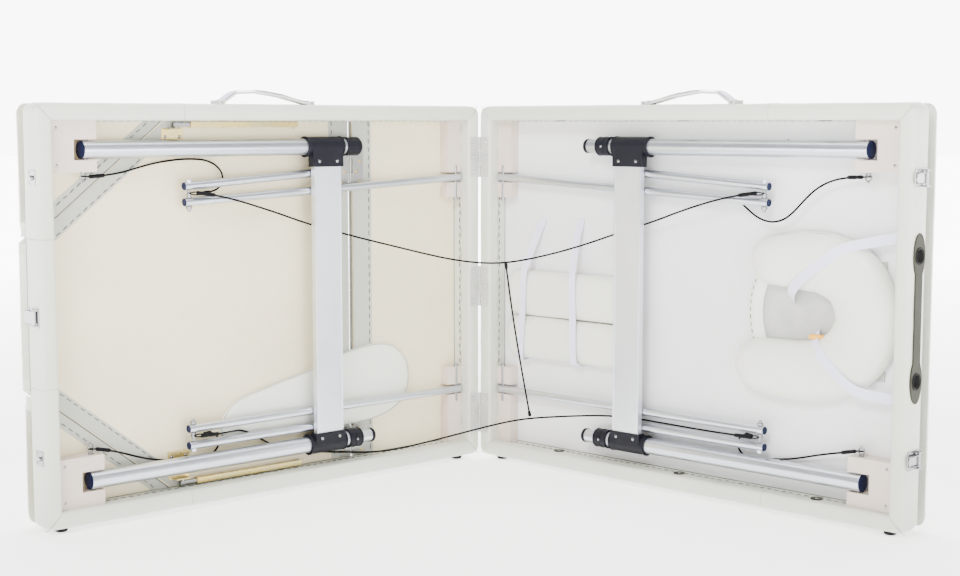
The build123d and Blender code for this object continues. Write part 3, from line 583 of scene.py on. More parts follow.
def cable(node):
    curve = bpy.data.curves.new(node + "_line", "CURVE")
    curve.dimensions = "3D"
    curve.bevel_depth = 0.00175
    curve.bevel_resolution = 4
    curve.use_fill_caps = True
    route = ROUTES[node]
    spline = curve.splines.new("NURBS")
    spline.points.add(len(route) - 1)
    for point, place in zip(spline.points, route):
        point.co = (*place, 1)
    spline.order_u = 3
    spline.use_endpoint_u = True
    spline.resolution_u = 10
    curve.materials.append(M["wire"])
    piece = bpy.data.objects.new(node + "_line", curve)
    bpy.context.collection.objects.link(piece)
    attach(piece, "right" if node.startswith("right") else "left")
    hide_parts(node)
    return piece


def to_local(h, p):
    d = (p - h.origin) / MM
    return Vector((d.dot(h.out), d.z, d.dot(h.n)))


def sleeve(shape, a, b, r=3.0):
    """A crimped sleeve from a towards b, tapered at both ends."""
    long = (Vector(b) - Vector(a)).length
    shape.turned(
        a, b,
        [
            (0, r * 0.75), (1, r), (long * 0.3, r), (long * 0.34, r * 0.9), (long * 0.4, r * 0.9),
            (long * 0.44, r), (long - 2, r), (long, r * 0.72)
        ],
        16
    )


cords = {node: cable(node) for node in ROUTES}
fittings = {node: [] for node in ROUTES}
for side, h in (("left", L), ("right", R)):
    for row in ("upper", "lower"):
        node = f"{side}_{row}_cable"
        s = Shape(h)
        start, ahead = to_local(h, ROUTES[node][0]), to_local(h, ROUTES[node][1])
        way = (ahead - start).normalized()
        sleeve(s, start + way * 2, start + way * 30, 3.4)
        if node != "right_upper_cable":
            finish, before = to_local(h, ROUTES[node][-1]), to_local(h, ROUTES[node][-2])
            back = (before - finish).normalized()
            sleeve(s, finish - back * 4, finish + back * 16, 3.4)
        # the loop through the eye
        loop = [
            start + way * 3 + Vector((0, 0, 0.6)), start + Vector((3, 0.4, 2)),
            start + Vector((8, 0.6, 3.1)), start + Vector((12, 1, 1.5)),
            start + Vector((12, 1, -1.5)), start + Vector((8, 0.6, -3.1)),
            start + Vector((3, 0.4, -2)), start + way * 3 - Vector((0, 0, 0.6))
        ]
        s.tube(smooth_line(loop, 5), 1.2, 8)
        fittings[node].append(s.done(f"{node}_end", "wire", side, "black_coated_wire"))
for node, row in (("top_cable", "upper"), ("bottom_cable", "lower")):
    route = ROUTES[node]
    for h, a, b in ((L, route[0], route[1]), (R, route[-1], route[-2])):
        s = Shape(h)
        start, ahead = to_local(h, a), to_local(h, b)
        way = (ahead - start).normalized()
        sleeve(s, start - way * 11, start + way * 24, 3.5)
        knee = Vector((KNEE_U, start.y, STRUT_W - 1))
        loop = [
            start + way * 2 + Vector((0, 1.1, 0)), start + Vector((7, 2.4, 4)),
            knee + Vector((-5, 2.2, -2)), knee + Vector((1, 0.6, -4.8)),
            knee + Vector((-5, -1.4, -3)), start + Vector((7, -2.0, 3)),
            start + way * 2 - Vector((0, 1.1, 0))
        ]
        s.tube(smooth_line(loop, 5), 1.2, 8)
        fittings[node].append(s.done(f"{h.name}_{row}_knee_loop", "wire", h.name, "black_coated_wire"))
# a crimp where the short cable meets each long one
s = Shape(L)
for i in (0, -1):
    c = to_local(L, ROUTES["cross_cable"][i])
    near = to_local(L, ROUTES["cross_cable"][1 if i == 0 else -2])
    way = (near - c).normalized()
    s.turned(c - way * 4.5, near, [(0, 2.2), (0.8, 3.0), (4, 3.4), (8, 3.0), (11, 2.2)], 14)
fittings["cross_cable"].append(s.done("cross_cable_crimps", "wire", "left", "black_coated_wire"))


# ---------------------------------------------------------------- leather-covered rails
def rail_profile(r):
    """A rail's section: (mm in from the outer edge, w), with its outer lip rounded by r."""
    return (
        [(0.0, 46), (-0.4, 42), (-0.9, 36), (-1.1, 28), (-0.9, 20), (-0.4, 13)]
        + [
            (r - (r + 0.2) * cos(t), r - (r + 0.2) * sin(t))
            for t in [radians(a) for a in (10, 26, 42, 58, 74, 88)]
        ]
        + [(11, -0.5), (14.5, -0.6), (18, -0.5), (21.5, -0.2)]
        + [(23 + 5 * sin(t), 5 - 5 * cos(t)) for t in [radians(a) for a in (15, 38, 62, 86)]]
        + [(28.1, 9), (28.0, 16), (28.1, 24), (28, 33), (28, 40), (28, 46)]
    )


PROFILE, FOLD_PROFILE = rail_profile(8), rail_profile(1.5)
FOLD_EDGE = 1.4  # the leather on the rail beside the fold is padded almost to the pin
OUTER = [(FOLD_EDGE, 0), (END, 0), (END, WIDTH), (FOLD_EDGE, WIDTH)]
INNER = [(26, RAIL), (END - RAIL, RAIL), (END - RAIL, WIDTH - RAIL), (26, WIDTH - RAIL)]
ARC = 6


def unit(v):
    return v / v.length


def ring_path(d, per_side):
    """The frame's outline in u and v, d mm in from its outer edge, with arcs at its rounded corners.
    Each point comes with whether it is on a mitre, and how far it is on the square-lipped side."""
    share = d / RAIL
    corners = [Vector(o) + (Vector(i) - Vector(o)) * share for o, i in zip(OUTER, INNER)]
    points = []
    for k in range(4):
        c, a, b = corners[k], corners[k - 1], corners[(k + 1) % 4]
        back, on = unit(a - c), unit(b - c)
        r = max(15 * (1 - share), 1.2)
        middle = c + (back + on) * r
        for i in range(ARC + 1):
            t = pi / 2 * i / ARC
            square = i / ARC if k == 3 else 1 - i / ARC if k == 0 else 0
            points.append((middle - on * r * cos(t) - back * r * sin(t), i == ARC // 2, square))
        start = c + on * r
        finish = b - on * r
        n = per_side[k]
        for i in range(1, n):
            points.append((start + (finish - start) * (i / n), False, k == 3))
    return points


POST_V, POST_W, POST_R = (455, 251), 24, 11


def open_sockets(s):
    """Takes the leather off the end face where the post sockets are, under the grip plate."""
    found = []
    for f in s.bm.faces:
        u, v, w = to_local(s.h, f.calc_center_median())
        if u > END - 3 and abs(w - POST_W) < 9.5 and any(abs(v - post) < 18 for post in POST_V):
            found.append(f)
    bmesh.ops.delete(s.bm, geom=found, context="FACES")


def covered_rails(h):
    s = Shape(h)
    per_side = (66, 50, 66, 50)
    paths = [ring_path(d, per_side) for d, _ in PROFILE]
    square_paths = [ring_path(d, per_side) for d, _ in FOLD_PROFILE]
    rings = []
    for i in range(len(paths[0])):
        ring = []
        for k, ((_, round_w), (_, square_w)) in enumerate(zip(PROFILE, FOLD_PROFILE)):
            place, mitre, square = paths[k][i]
            x, y = place + (square_paths[k][i][0] - place) * square
            w = round_w + (square_w - round_w) * square
            sunk = 0.0
            if mitre and 4 <= k <= 21:
                sunk = 1.1
            ring.append((x, y, w + sunk if 9 <= k <= 17 else w + sunk * 0.4))
        rings.append(ring)
    rings.append(rings[0])
    s.loft(rings, caps=(False, False))
    bmesh.ops.remove_doubles(s.bm, verts=s.bm.verts[:], dist=0.00002)
    if h is R:
        open_sockets(s)
    ruffle(s, 0.55, 22, h.s * 3.1)
    ruffle(s, 0.25, 75, h.s * 1.3)
    piece = s.done(f"{h.name}_covered_rails", "leather", h.name, "ivory_leather", angle=70)
    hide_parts(f"{h.name}_rails")
    return piece


for h in HALVES:
    covered_rails(h)


SEAM_U = 672  # the seams in the two long rails' covers
END_SEAMS_V = (235, 480)


def rail_seam(s, corner_a, corner_b, along, r=0.75):
    """A seam across a rail, round its lip: corners in u and v, along in mm from the first one."""
    side = unit(Vector(corner_b) - Vector(corner_a))
    inward = Vector((-side.y, side.x))
    path = []
    for d, w in PROFILE[1:-4]:
        p = Vector(corner_a) + side * along + inward * d
        path.append((p.x, p.y, w))
    s.tube(smooth_line(path, 2), r, 8)


for h in HALVES:
    creases, seams = Shape(h), Shape(h)
    # dark tubes in the sunk mitre grooves: painted shade in the creases of the leather
    for corner, inner in zip(OUTER, INNER):
        a, b = Vector(corner), Vector(inner)
        path = [a + (b - a) * (d / RAIL) for d, _ in PROFILE[6:20]]
        creases.tube([(p.x, p.y, w + 0.7) for p, (_, w) in zip(path, PROFILE[6:20])], 0.7, 8)
    rail_seam(seams, (FOLD_EDGE, 0), (END, 0), SEAM_U - FOLD_EDGE, 0.6)
    rail_seam(seams, (END, WIDTH), (FOLD_EDGE, WIDTH), END - SEAM_U, 0.6)
    if h is L:
        for v in END_SEAMS_V:
            rail_seam(seams, (END, 0), (END, WIDTH), v, 0.6)
    creases.done(f"{h.name}_mitre_creases", "band", h.name)
    seams.done(f"{h.name}_rail_seams", "band", h.name)


# ---------------------------------------------------------------- stitches and staples
def dashes(s, line, long, wide, high, step, start=4.0, facing=(0, 0, -1), jitter=0.0):
    """Short raised threads or staples along a line of points."""
    out = Vector(facing)
    for i, (p, t) in enumerate(spaced(line, step, start)):
        across = t.cross(out).normalized()
        turn = jitter * noise.noise(Vector((i * 1.37, p.x * 0.01, p.y * 0.01)))
        t = (t + across * turn).normalized()
        a, b = p - t * long / 2, p + t * long / 2
        up = out * high
        side = across * wide / 2
        ring = lambda c, k: [
            tuple(c - side * k - out * 0.3), tuple(c - side * k * 0.8 + up * k),
            tuple(c + side * k * 0.8 + up * k), tuple(c + side * k - out * 0.3)
        ]
        s.loft([ring(a, 0.5), ring(a + t * long * 0.15, 1), ring(b - t * long * 0.15, 1), ring(b, 0.5)])


# ---------------------------------------------------------------- cushions
def bunched(a, b, step, soft):
    """Values from a to b, close together near both ends."""
    near = [x * soft for x in (0, 0.06, 0.18, 0.36, 0.6, 0.85, 1.1, 1.25, 1.4, 1.7)]
    middle = []
    n = max(2, int((b - a - 2 * near[-1]) / step))
    for i in range(1, n):
        middle.append(a + near[-1] + (b - a - 2 * near[-1]) * i / n)
    return [a + x for x in near] + middle + [b - x for x in reversed(near)]


def foam(s, u, v, base, top, soft=17, cuts=(), crown=3.0, lean=(0, 0), bulge=1.5, seam=True, square=()):
    """A foam pad under stretched leather, added to a shape.
    cuts: (point, point) lines in u and v that take a corner off.
    lean: how far the face at each end of u leans in from base to top.
    square: ends of u whose top edge is only slightly rounded."""
    part = bmesh.new()
    us, vs = bunched(*u, 15, soft), bunched(*v, 15, soft)
    grid = [[part.verts.new((x, y, 0)) for y in vs] for x in us]
    for i in range(len(us) - 1):
        for j in range(len(vs) - 1):
            part.faces.new((grid[i][j], grid[i + 1][j], grid[i + 1][j + 1], grid[i][j + 1]))
    lines = []
    for p, q in cuts:
        p, q = Vector((*p, 0)), Vector((*q, 0))
        normal = (q - p).cross(Vector((0, 0, 1))).normalized()  # towards what is cut away
        for k in (0, 0.06, 0.18, 0.36, 0.6, 0.85, 1.1, 1.25, 1.4):
            geom = part.verts[:] + part.edges[:] + part.faces[:]
            bmesh.ops.bisect_plane(
                part, geom=geom, plane_co=p - normal * (k * soft), plane_no=normal,
                clear_outer=k == 0, dist=0.01
            )
        lines.append((p, normal))
    rim = [e for e in part.edges if len(e.link_faces) == 1]
    middle_u, middle_v = (u[0] + u[1]) / 2, (v[0] + v[1]) / 2

    def fall(x, y):
        near = {"u0": x - u[0], "u1": u[1] - x, "v0": y - v[0], "v1": v[1] - y}
        soft_at = {key: 5 if key in square else soft for key in near}
        a = [max(0, 1 - near[k] / soft_at[k]) for k in near]
        a += [max(0, 1 - (p - Vector((x, y, 0))).dot(n) / soft) for p, n in lines]
        t = min(1, sqrt(sum(z * z for z in a)))
        deep = soft if not any(k in square and near[k] < soft_at[k] for k in near) else 5
        groove = 0.0
        edge = min(
            [near[k] for k in near if k not in square] + [(p - Vector((x, y, 0))).dot(n) for p, n in lines]
        )
        if seam:
            groove = 0.9 * max(0, 1 - abs(edge - soft * 1.25) / 2.6)
        return deep * (1 - sqrt(max(0, 1 - t * t))) + groove

    def rounded(x, y):
        """Plan corners rounded, where two straight edges meet."""
        r = 15
        cx = u[0] + r if x < u[0] + r else u[1] - r if x > u[1] - r else None
        cy = v[0] + r if y < v[0] + r else v[1] - r if y > v[1] - r else None
        if cx is None or cy is None or (
            "u0" in square and x < middle_u
        ) or ("u1" in square and x > middle_u):
            return x, y
        a, b = (x - cx) / r, (y - cy) / r
        return cx + r * a * sqrt(1 - b * b / 2), cy + r * b * sqrt(1 - a * a / 2)

    drops = {x: fall(x.co.x, x.co.y) for x in part.verts}
    for x in part.verts:
        share = (
            1 - ((x.co.x - middle_u) / (u[1] - u[0]) * 2) ** 4
        ) * (1 - ((x.co.y - middle_v) / (v[1] - v[0]) * 2) ** 4)
        px, py = rounded(x.co.x, x.co.y)
        px += lean[0] * max(0, 1 - (x.co.x - u[0]) / 60) - lean[1] * max(0, 1 - (u[1] - x.co.x) / 60)
        x.co = Vector((px, py, top - drops[x] + crown * share))
    # The sides, down to the panel. Known fault: source can be a neighbour in the same new ring instead of the
    # vertex above, which draws the ring together, so the sides of the cushion covers are not proper walls.
    ring = rim
    start = {x: x.co.copy() for e in rim for x in e.verts}
    for share in (0.25, 0.5, 0.75, 0.93, 1.0):
        out = bmesh.ops.extrude_edge_only(part, edges=ring)
        new = [g for g in out["geom"] if isinstance(g, bmesh.types.BMVert)]
        ring = [g for g in out["geom"] if isinstance(g, bmesh.types.BMEdge)]
        for x in new:
            source = next(e.other_vert(x) for e in x.link_edges if e.other_vert(x) in start)
            origin = start[x] = start[source]
            x.co = origin.copy()
            x.co.z = origin.z + (base - origin.z) * share
            height = (1 - share) * (origin.z - base) / (top - base)
            if lean[0] and origin.x < u[0] + lean[0] + 1:
                x.co.x = u[0] + lean[0] * height
            if lean[1] and origin.x > u[1] - lean[1] - 1:
                x.co.x = u[1] - lean[1] * height
            puff = bulge * sin(pi * min(share, 0.96))
            if origin.x > u[1] - 0.5 and "u1" not in square:
                x.co.x += puff
            if origin.x < u[0] + 0.5 and "u0" not in square:
                x.co.x -= puff * 0.4
            if origin.y > v[1] - 0.5:
                x.co.y += min(puff, 2.5) * 0.6
            if origin.y < v[0] + 0.5:
                x.co.y -= min(puff, 2.5) * 0.6
    bmesh.ops.contextual_create(part, geom=ring)
    s.merge(part)


def cushion(name, node, h, body, pads, seed, **shape):
    s = Shape(h)
    for u, v, cuts in pads:
        foam(s, u, v, cuts=cuts, **shape)
    bmesh.ops.recalc_face_normals(s.bm, faces=s.bm.faces[:])
    ruffle(s, 0.9, 7, seed)
    ruffle(s, 0.35, 33, seed + 2)
    piece = s.done(name, "leather", body, "ivory_leather", angle=62)
    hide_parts(node)
    return piece


PANEL_W = 50
CUT_TOP, CUT_END = (END - 285, WIDTH), (END, WIDTH - 225)
LEAN = 27.3


def shifted(p, q, gap):
    """The line from p to q, moved to its right by gap."""
    a, b = Vector(p), Vector(q)
    n = unit(Vector(((b - a).y, -(b - a).x)))
    return tuple(a + n * gap), tuple(b + n * gap)


LOW_A, LOW_B = (END - 285, 0), (END, 225)
cushion(
    "seat_cushion_cover", "seat_cushion", L, "left", [((4, 282), (0, WIDTH), ())], 1, base=PANEL_W,
    top=BACK, lean=(0, LEAN), square=("u1",), crown=2.5
)
cushion(
    "back_cushion_cover", "back_cushion", L, "backrest",
    [((290, END - 1), (0, WIDTH), (shifted(CUT_END, CUT_TOP, -2), shifted(LOW_A, LOW_B, -2)))], 2,
    base=PANEL_W + 0.3, top=BACK, lean=(LEAN, 0), square=("u0",), bulge=7
)
cushion(
    "corner_cushion_covers", "corner_pads", L, "left",
    [
        ((640, END - 4), (455, WIDTH), (shifted(CUT_TOP, CUT_END, -2),)),
        ((640, END - 4), (0, 245), (shifted(LOW_B, LOW_A, -2),))
    ],
    3, base=PANEL_W, top=BACK, crown=1.5, bulge=3
)
cushion(
    "head_cushion_cover", "head_cushion", R, "right", [((4, END - 2), (0, WIDTH), ())], 4,
    base=PANEL_W, top=BACK, bulge=3
)


# ---------------------------------------------------------------- leather turned over the panels' edges
def strip(name, body, outline, w, lines, seed, thick=0.8):
    """A flat strip of turned-over leather with its rows of staples. outline: corners in u and v."""
    s = Shape(L)
    (a, b, c, d) = [Vector(p) for p in outline]
    n, m = 40, 6
    rows = []
    for face in (0, 1):
        for i in range(n + 1):
            left, right = a + (d - a) * (i / n), b + (c - b) * (i / n)
            row = []
            for j in range(m + 1):
                p = left + (right - left) * (j / m)
                wave = 0.35 * noise.noise(Vector((p.x * 0.05, p.y * 0.05, seed))) if face else 0
                row.append((p.x, p.y, w - (thick + wave if face else 0)))
            rows.append(row)
    front, back = rows[n + 1:], rows[:n + 1]
    s.loft([f + b[::-1] for f, b in zip(front, back)])
    strips = s.done(name, "band", body, "ivory_leather", angle=60)
    t = Shape(L)
    for p, q in lines:
        p, q = Vector(p), Vector(q)
        count = 24
        line = [(x.x, x.y, w - thick - 0.15) for x in [p + (q - p) * (i / count) for i in range(count + 1)]]
        dashes(t, line, 10, 1.7, 0.7, 16, 6 + seed, jitter=0.25)
    t.done(f"{name}_staples", "thread", body)
    return strips


PANEL_FACE = DEPTH
strip(
    "seat_turned_edge", "left", [(237, 30), (280.5, 30), (280.5, 670), (237, 670)], PANEL_FACE,
    [((243, 34), (243, 666))], 1
)
strip(
    "back_turned_edge", "backrest", [(291.5, 30), (336, 30), (336, 670), (291.5, 670)],
    PANEL_FACE + 0.4, [((330, 34), (330, 666))], 2
)
strip(
    "upper_corner_edge", "left", [(725, 672), (692, 672), (915, 497), (915, 523)], PANEL_FACE,
    [((717, 670), (914, 515))], 3
)
strip(
    "upper_back_edge", "backrest", [(687, 670), (645, 670), (913, 460), (913, 494)], PANEL_FACE + 0.4,
    [((654, 668), (912, 467))], 4
)
strip(
    "lower_corner_edge", "left", [(725, 28), (692, 28), (915, 203), (915, 177)], PANEL_FACE,
    [((717, 30), (914, 185))], 5
)
strip(
    "lower_back_edge", "backrest", [(687, 30), (645, 30), (913, 240), (913, 206)], PANEL_FACE + 0.4,
    [((654, 32), (912, 233))], 6
)


# dark tubes painted as the shade in the gap between the fixed corners and the backrest, and a dark sheet of
# painted shade behind the seat's gap
s = Shape(L)
s.tube([(692, 671, DEPTH - 0.2), (914, 496, DEPTH - 0.2)], 1.3, 8)
s.tube([(692, 29, DEPTH - 0.2), (914, 204, DEPTH - 0.2)], 1.3, 8)
s.box((278, 286.5), (30, 670), (50.2, 51), 0.3)
s.done("backrest_gap_painted_shade", "shade", "left")


def wavy_edge(s, points, inward, w, tall, seed):
    """The cut edge of the leather inside a rail: it rises and falls between its staples."""
    line = [Vector(p) for p in points]
    rings = []
    count = max(2, int((line[1] - line[0]).length / 6))
    for i in range(count + 1):
        p = line[0] + (line[1] - line[0]) * (i / count)
        rise = w + 1.6 * sin(i * 0.9 + seed) + 1.3 * noise.noise(Vector((i * 0.31, seed, 0)))
        a, b = p + Vector(inward) * 0.9, p - Vector(inward) * 0.2
        rings.append(
            [(b.x, b.y, rise + tall), (a.x, a.y, rise + tall), (a.x, a.y, rise), (b.x, b.y, rise - 0.4)]
        )
    s.loft(rings)


for h in HALVES:
    s, t = Shape(h), Shape(h)
    inner = [
        (26.2, RAIL + 0.3), (END - RAIL - 0.2, RAIL + 0.3), (END - RAIL - 0.2, WIDTH - RAIL - 0.3),
        (26.2, WIDTH - RAIL - 0.3)
    ]
    for k, inward in enumerate(((0, 1), (-1, 0), (0, -1), (1, 0))):
        a, b = Vector(inner[k]), Vector(inner[(k + 1) % 4])
        way = unit(b - a)
        wavy_edge(s, (a + way * 8, b - way * 8), inward, 24, 0.9, k + h.s)
        line = [
            tuple(Vector((*(a + way * x + Vector(inward) * 0.8), 27.5 + 1.2 * sin(x * 0.15 + k))))
            for x in range(14, int((b - a).length) - 12, 12)
        ]
        dashes(t, line, 9, 1.6, 0.7, 15, 5, facing=(*inward, 0), jitter=0.35)
    s.done(f"{h.name}_rail_turned_edges", "band", h.name, "ivory_leather", angle=50)
    # a dark tube round the panel's edge inside the rails: painted shade where the rails' inner faces meet the
    # panel
    s = Shape(h)
    s.tube([(u, v, DEPTH - 0.3) for u, v in inner + inner[:1]], 0.9, 8)
    s.done(f"{h.name}_panel_edge_gap", "shade", h.name)
    t.done(f"{h.name}_rail_staples", "thread", h.name)


# ---------------------------------------------------------------- stored pads
def superhull(s, path, base, tall, power=0.85, around=9, taper=1.0):
    """A puffy bar: path is (u, v, half width, height share) along its middle.
    It is flat on base and rises by tall."""
    rings = []
    for i, (x, y, half, share) in enumerate(path):
        a, b = Vector(path[max(i - 1, 0)][:2]), Vector(path[min(i + 1, len(path) - 1)][:2])
        t = unit(b - a)
        side = Vector((-t.y, t.x))
        ring = []
        for k in range(around * 2 + 1):
            angle = pi * k / (around * 2)
            c, z = -cos(angle), sin(angle)
            reach = half * (1 if c >= 0 else -1) * abs(c) ** 0.85
            ring.append(
                (x + side.x * reach, y + side.y * reach, base - 4 - (tall - 4) * share * z ** power)
            )
        low = [(x + side.x * half * q, y + side.y * half * q, base) for q in (0.93, 0.5, 0, -0.5, -0.93)]
        rings.append(ring + low)
    s.loft(rings)


def along_path(points, closed=False, per=9):
    """Smoothed (u, v, half width) points."""
    return [tuple(p) for p in smooth_line([Vector(p) for p in points], per, closed)]


# the face cradle's horseshoe pad
s = Shape(R)
middle = along_path(
    [
        (671, 432, 44), (720, 434, 50), (775, 430, 54), (828, 402, 58), (853, 340, 60),
        (828, 284, 58), (775, 252, 54), (715, 244, 52), (646, 246, 48)
    ],
    per=10
)
path = [[x, y, half, 1.0] for x, y, half in middle]


# rounded ends
def ended(path, at_start):
    a, b = (path[0], path[1]) if at_start else (path[-1], path[-2])
    t = unit(Vector(a[:2]) - Vector(b[:2]))
    extra = []
    for k in (0.22, 0.42, 0.6, 0.75, 0.87, 0.95, 0.99):
        share = sqrt(1 - k * k)
        p = Vector(a[:2]) + t * (a[2] * k)
        extra.append([p.x, p.y, a[2] * share, 0.35 + 0.65 * share])
    return extra


path = list(reversed(ended(path, True))) + path + ended(path, False)
superhull(s, path, 43, 36, 0.8, 12)
bmesh.ops.recalc_face_normals(s.bm, faces=s.bm.faces[:])
ruffle(s, 1.4, 14, 5)
ruffle(s, 0.7, 40, 9)
pad = s.done("cradle_pad_cover", "pad", "right", "ivory_leather", angle=80)
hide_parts("cradle_pad")
# its outer welts, real piping drawn in the darker turned leather as painted shade along them, and the leather
# band that ties its ends together behind
s = Shape(R)
for reach, level in ((0.93, 27), (-0.88, 30)):
    edge = []
    for i, (x, y, half, share) in enumerate(path[7:-7]):
        a, b = Vector(path[i + 6][:2]), Vector(path[i + 8][:2])
        t = unit(b - a)
        edge.append((x - t.y * half * reach, y + t.x * half * reach, level))
    s.tube(smooth_line(edge, 2), 1.2, 8)
s.done("cradle_pad_welts", "band", "right", "ivory_leather")
s, t = Shape(R), Shape(R)
rings, staples = [], []
for i in range(25):
    a = radians(148 + 64 * i / 24)
    c = Vector((775, 340))
    ring = []
    for r, w in ((132, 43), (131, 37.5), (134, 35), (146, 33.8), (158, 35), (161, 38), (160, 43)):
        ring.append((c.x + r * cos(a), c.y + r * 0.98 * sin(a), w))
    rings.append(ring)
    staples.append((c.x + 154 * cos(a), c.y + 151 * sin(a), 34.2))
s.loft(rings)
s.done("cradle_tie_band", "pad", "right", "ivory_leather", angle=50)
dashes(t, staples, 7, 1.4, 0.5, 13)
t.done("cradle_tie_staples", "thread", "right")
s = Shape(R)
s.box((746, 794), (302, 310), (22, 36), 2.5)
s.done("cradle_pad_lining", "amber", "right")

# bolster in two halves
s = Shape(R)
for (low, high), seed in (((203, 288), 1), ((288, 378), 2)):
    mid, half = (low + high) / 2, (high - low) / 2 - 0.4
    path = []
    for k in range(33):
        t = -1 + 2 * k / 32
        x = 205 + 161 * sin(t * pi / 2)
        share = (1 - abs(sin(t * pi / 2)) ** 10) ** 0.4 if abs(t) < 1 else 0.05
        path.append(
            [
                x + (0.01 * k), mid, half * max(0.25, (1 - abs(sin(t * pi / 2)) ** 14) ** 0.5),
                max(0.12, share)
            ]
        )
    superhull(s, path, 45.6, 27.6, 0.5, 10)
bmesh.ops.recalc_face_normals(s.bm, faces=s.bm.faces[:])
ruffle(s, 1.0, 12, 7)
pad = s.done("bolster_cover", "pad", "right", "ivory_leather", angle=80)
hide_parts("bolster")

# the arm rests, stored behind the braces
ARM_OUTLINE = [
    (560, 98), (584, 118), (576, 142), (546, 168), (470, 188), (392, 206), (330, 226), (258, 240),
    (200, 238), (160, 210), (150, 172), (158, 138), (190, 110), (260, 94), (400, 93)
]
s = Shape(L)
outline = smooth_line([(*p, 0) for p in ARM_OUTLINE], 5, closed=True)
spine_a, spine_b = Vector((215, 168, 0)), Vector((530, 128, 0))
rings = []
for r, lift in (
    (1.0, 0), (1.012, 0.22), (1.0, 0.48), (0.965, 0.7), (0.9, 0.86), (0.78, 0.95), (0.6, 0.99),
    (0.35, 1.0), (0.08, 1.0)
):
    ring = []
    for p in outline:
        k = max(0, min(1, (p - spine_a).dot(spine_b - spine_a) / (spine_b - spine_a).length_squared))
        q = spine_a + (spine_b - spine_a) * k
        x = q + (p - q) * r
        ring.append((x.x, x.y, 45.6 - 7.6 * lift))
    rings.append(ring)
s.loft(rings)
bmesh.ops.recalc_face_normals(s.bm, faces=s.bm.faces[:])
ruffle(s, 0.8, 12, 3)
pad = s.done("arm_pads_cover", "pad", "left", "ivory_leather", angle=80)
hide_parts("arm_pads")
s = Shape(L)
ridge = []
for p in outline:
    k = max(0, min(1, (p - spine_a).dot(spine_b - spine_a) / (spine_b - spine_a).length_squared))
    q = spine_a + (spine_b - spine_a) * k
    x = q + (p - q) * 0.985
    ridge.append((x.x, x.y, 40.4))
s.tube(ridge + ridge[:1], 0.9, 8)
s.done("arm_pads_welt", "band", "left", "ivory_leather")

# ---------------------------------------------------------------- elastic straps
s = Shape(R)
straps = [
    [
        (130, 480, 45), (127, 470, 43), (120, 450, 38), (112, 420, 30), (106, 392, 22),
        (103, 374, 16.6), (101, 330, 15.4), (99, 288, 16.2), (96, 240, 15.4), (93, 210, 17.5),
        (91, 203, 22), (90, 200, 32), (90, 199, 42)
    ],
    [
        (226, 484, 45), (225, 470, 42), (224, 448, 35), (224, 420, 28), (226, 394, 21),
        (227, 376, 16.6), (228, 330, 15.4), (229, 288, 16.2), (230, 240, 15.4), (231, 210, 17.5),
        (232, 203, 22), (232, 200, 32), (232, 199, 42)
    ],
    [
        (700, 365, 42), (706, 371, 30), (713, 379, 19), (724, 391, 11), (740, 405, 6.6),
        (760, 420, 5.6), (785, 440, 6.6), (806, 456, 10), (830, 465, 17), (868, 474, 24),
        (914, 484, 30)
    ],
    [
        (750, 312, 42), (756, 305, 30), (761, 298, 19), (772, 286, 11), (786, 272, 6.6),
        (806, 254, 5.6), (828, 236, 6.8), (846, 225, 11), (866, 220, 18), (890, 217, 25),
        (914, 215, 30)
    ],
]
for points in straps:
    s.band([tuple(p) for p in smooth_line(points, 6)], 15.5 if points[0][0] < 300 else 17.5, 1.2)
bands = s.done("elastic_straps", "elastic", "right", "white_elastic", angle=60)
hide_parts("straps")

# ---------------------------------------------------------------- small metal and plastic parts
def plug(s, end, inner, r):
    """A plastic plug in a tube's end, dished in the middle."""
    s.turned(
        end, Vector(end) * 2 - Vector(inner),
        [(-0.5, r - 0.7), (0.9, r - 0.7), (1.4, r - 1.3), (1.3, r - 2.0), (0.5, r - 2.7), (0.3, 0)],
        24
    )


def dome(s, spot, out, r, tall=None):
    """A rivet or screw head, standing out of a surface."""
    tall = tall or r * 0.55
    s.turned(
        spot, Vector(spot) + Vector(out),
        [(0, r), (tall * 0.45, r * 0.94), (tall * 0.8, r * 0.66), (tall, r * 0.25), (tall * 1.02, 0)],
        16
    )


# the struts' runs along u, and where the short ones end
LONG_STRUT_RUN, SHORT_STRUT_RUN, SHORT_END_U = 611.9, 299.9, 352

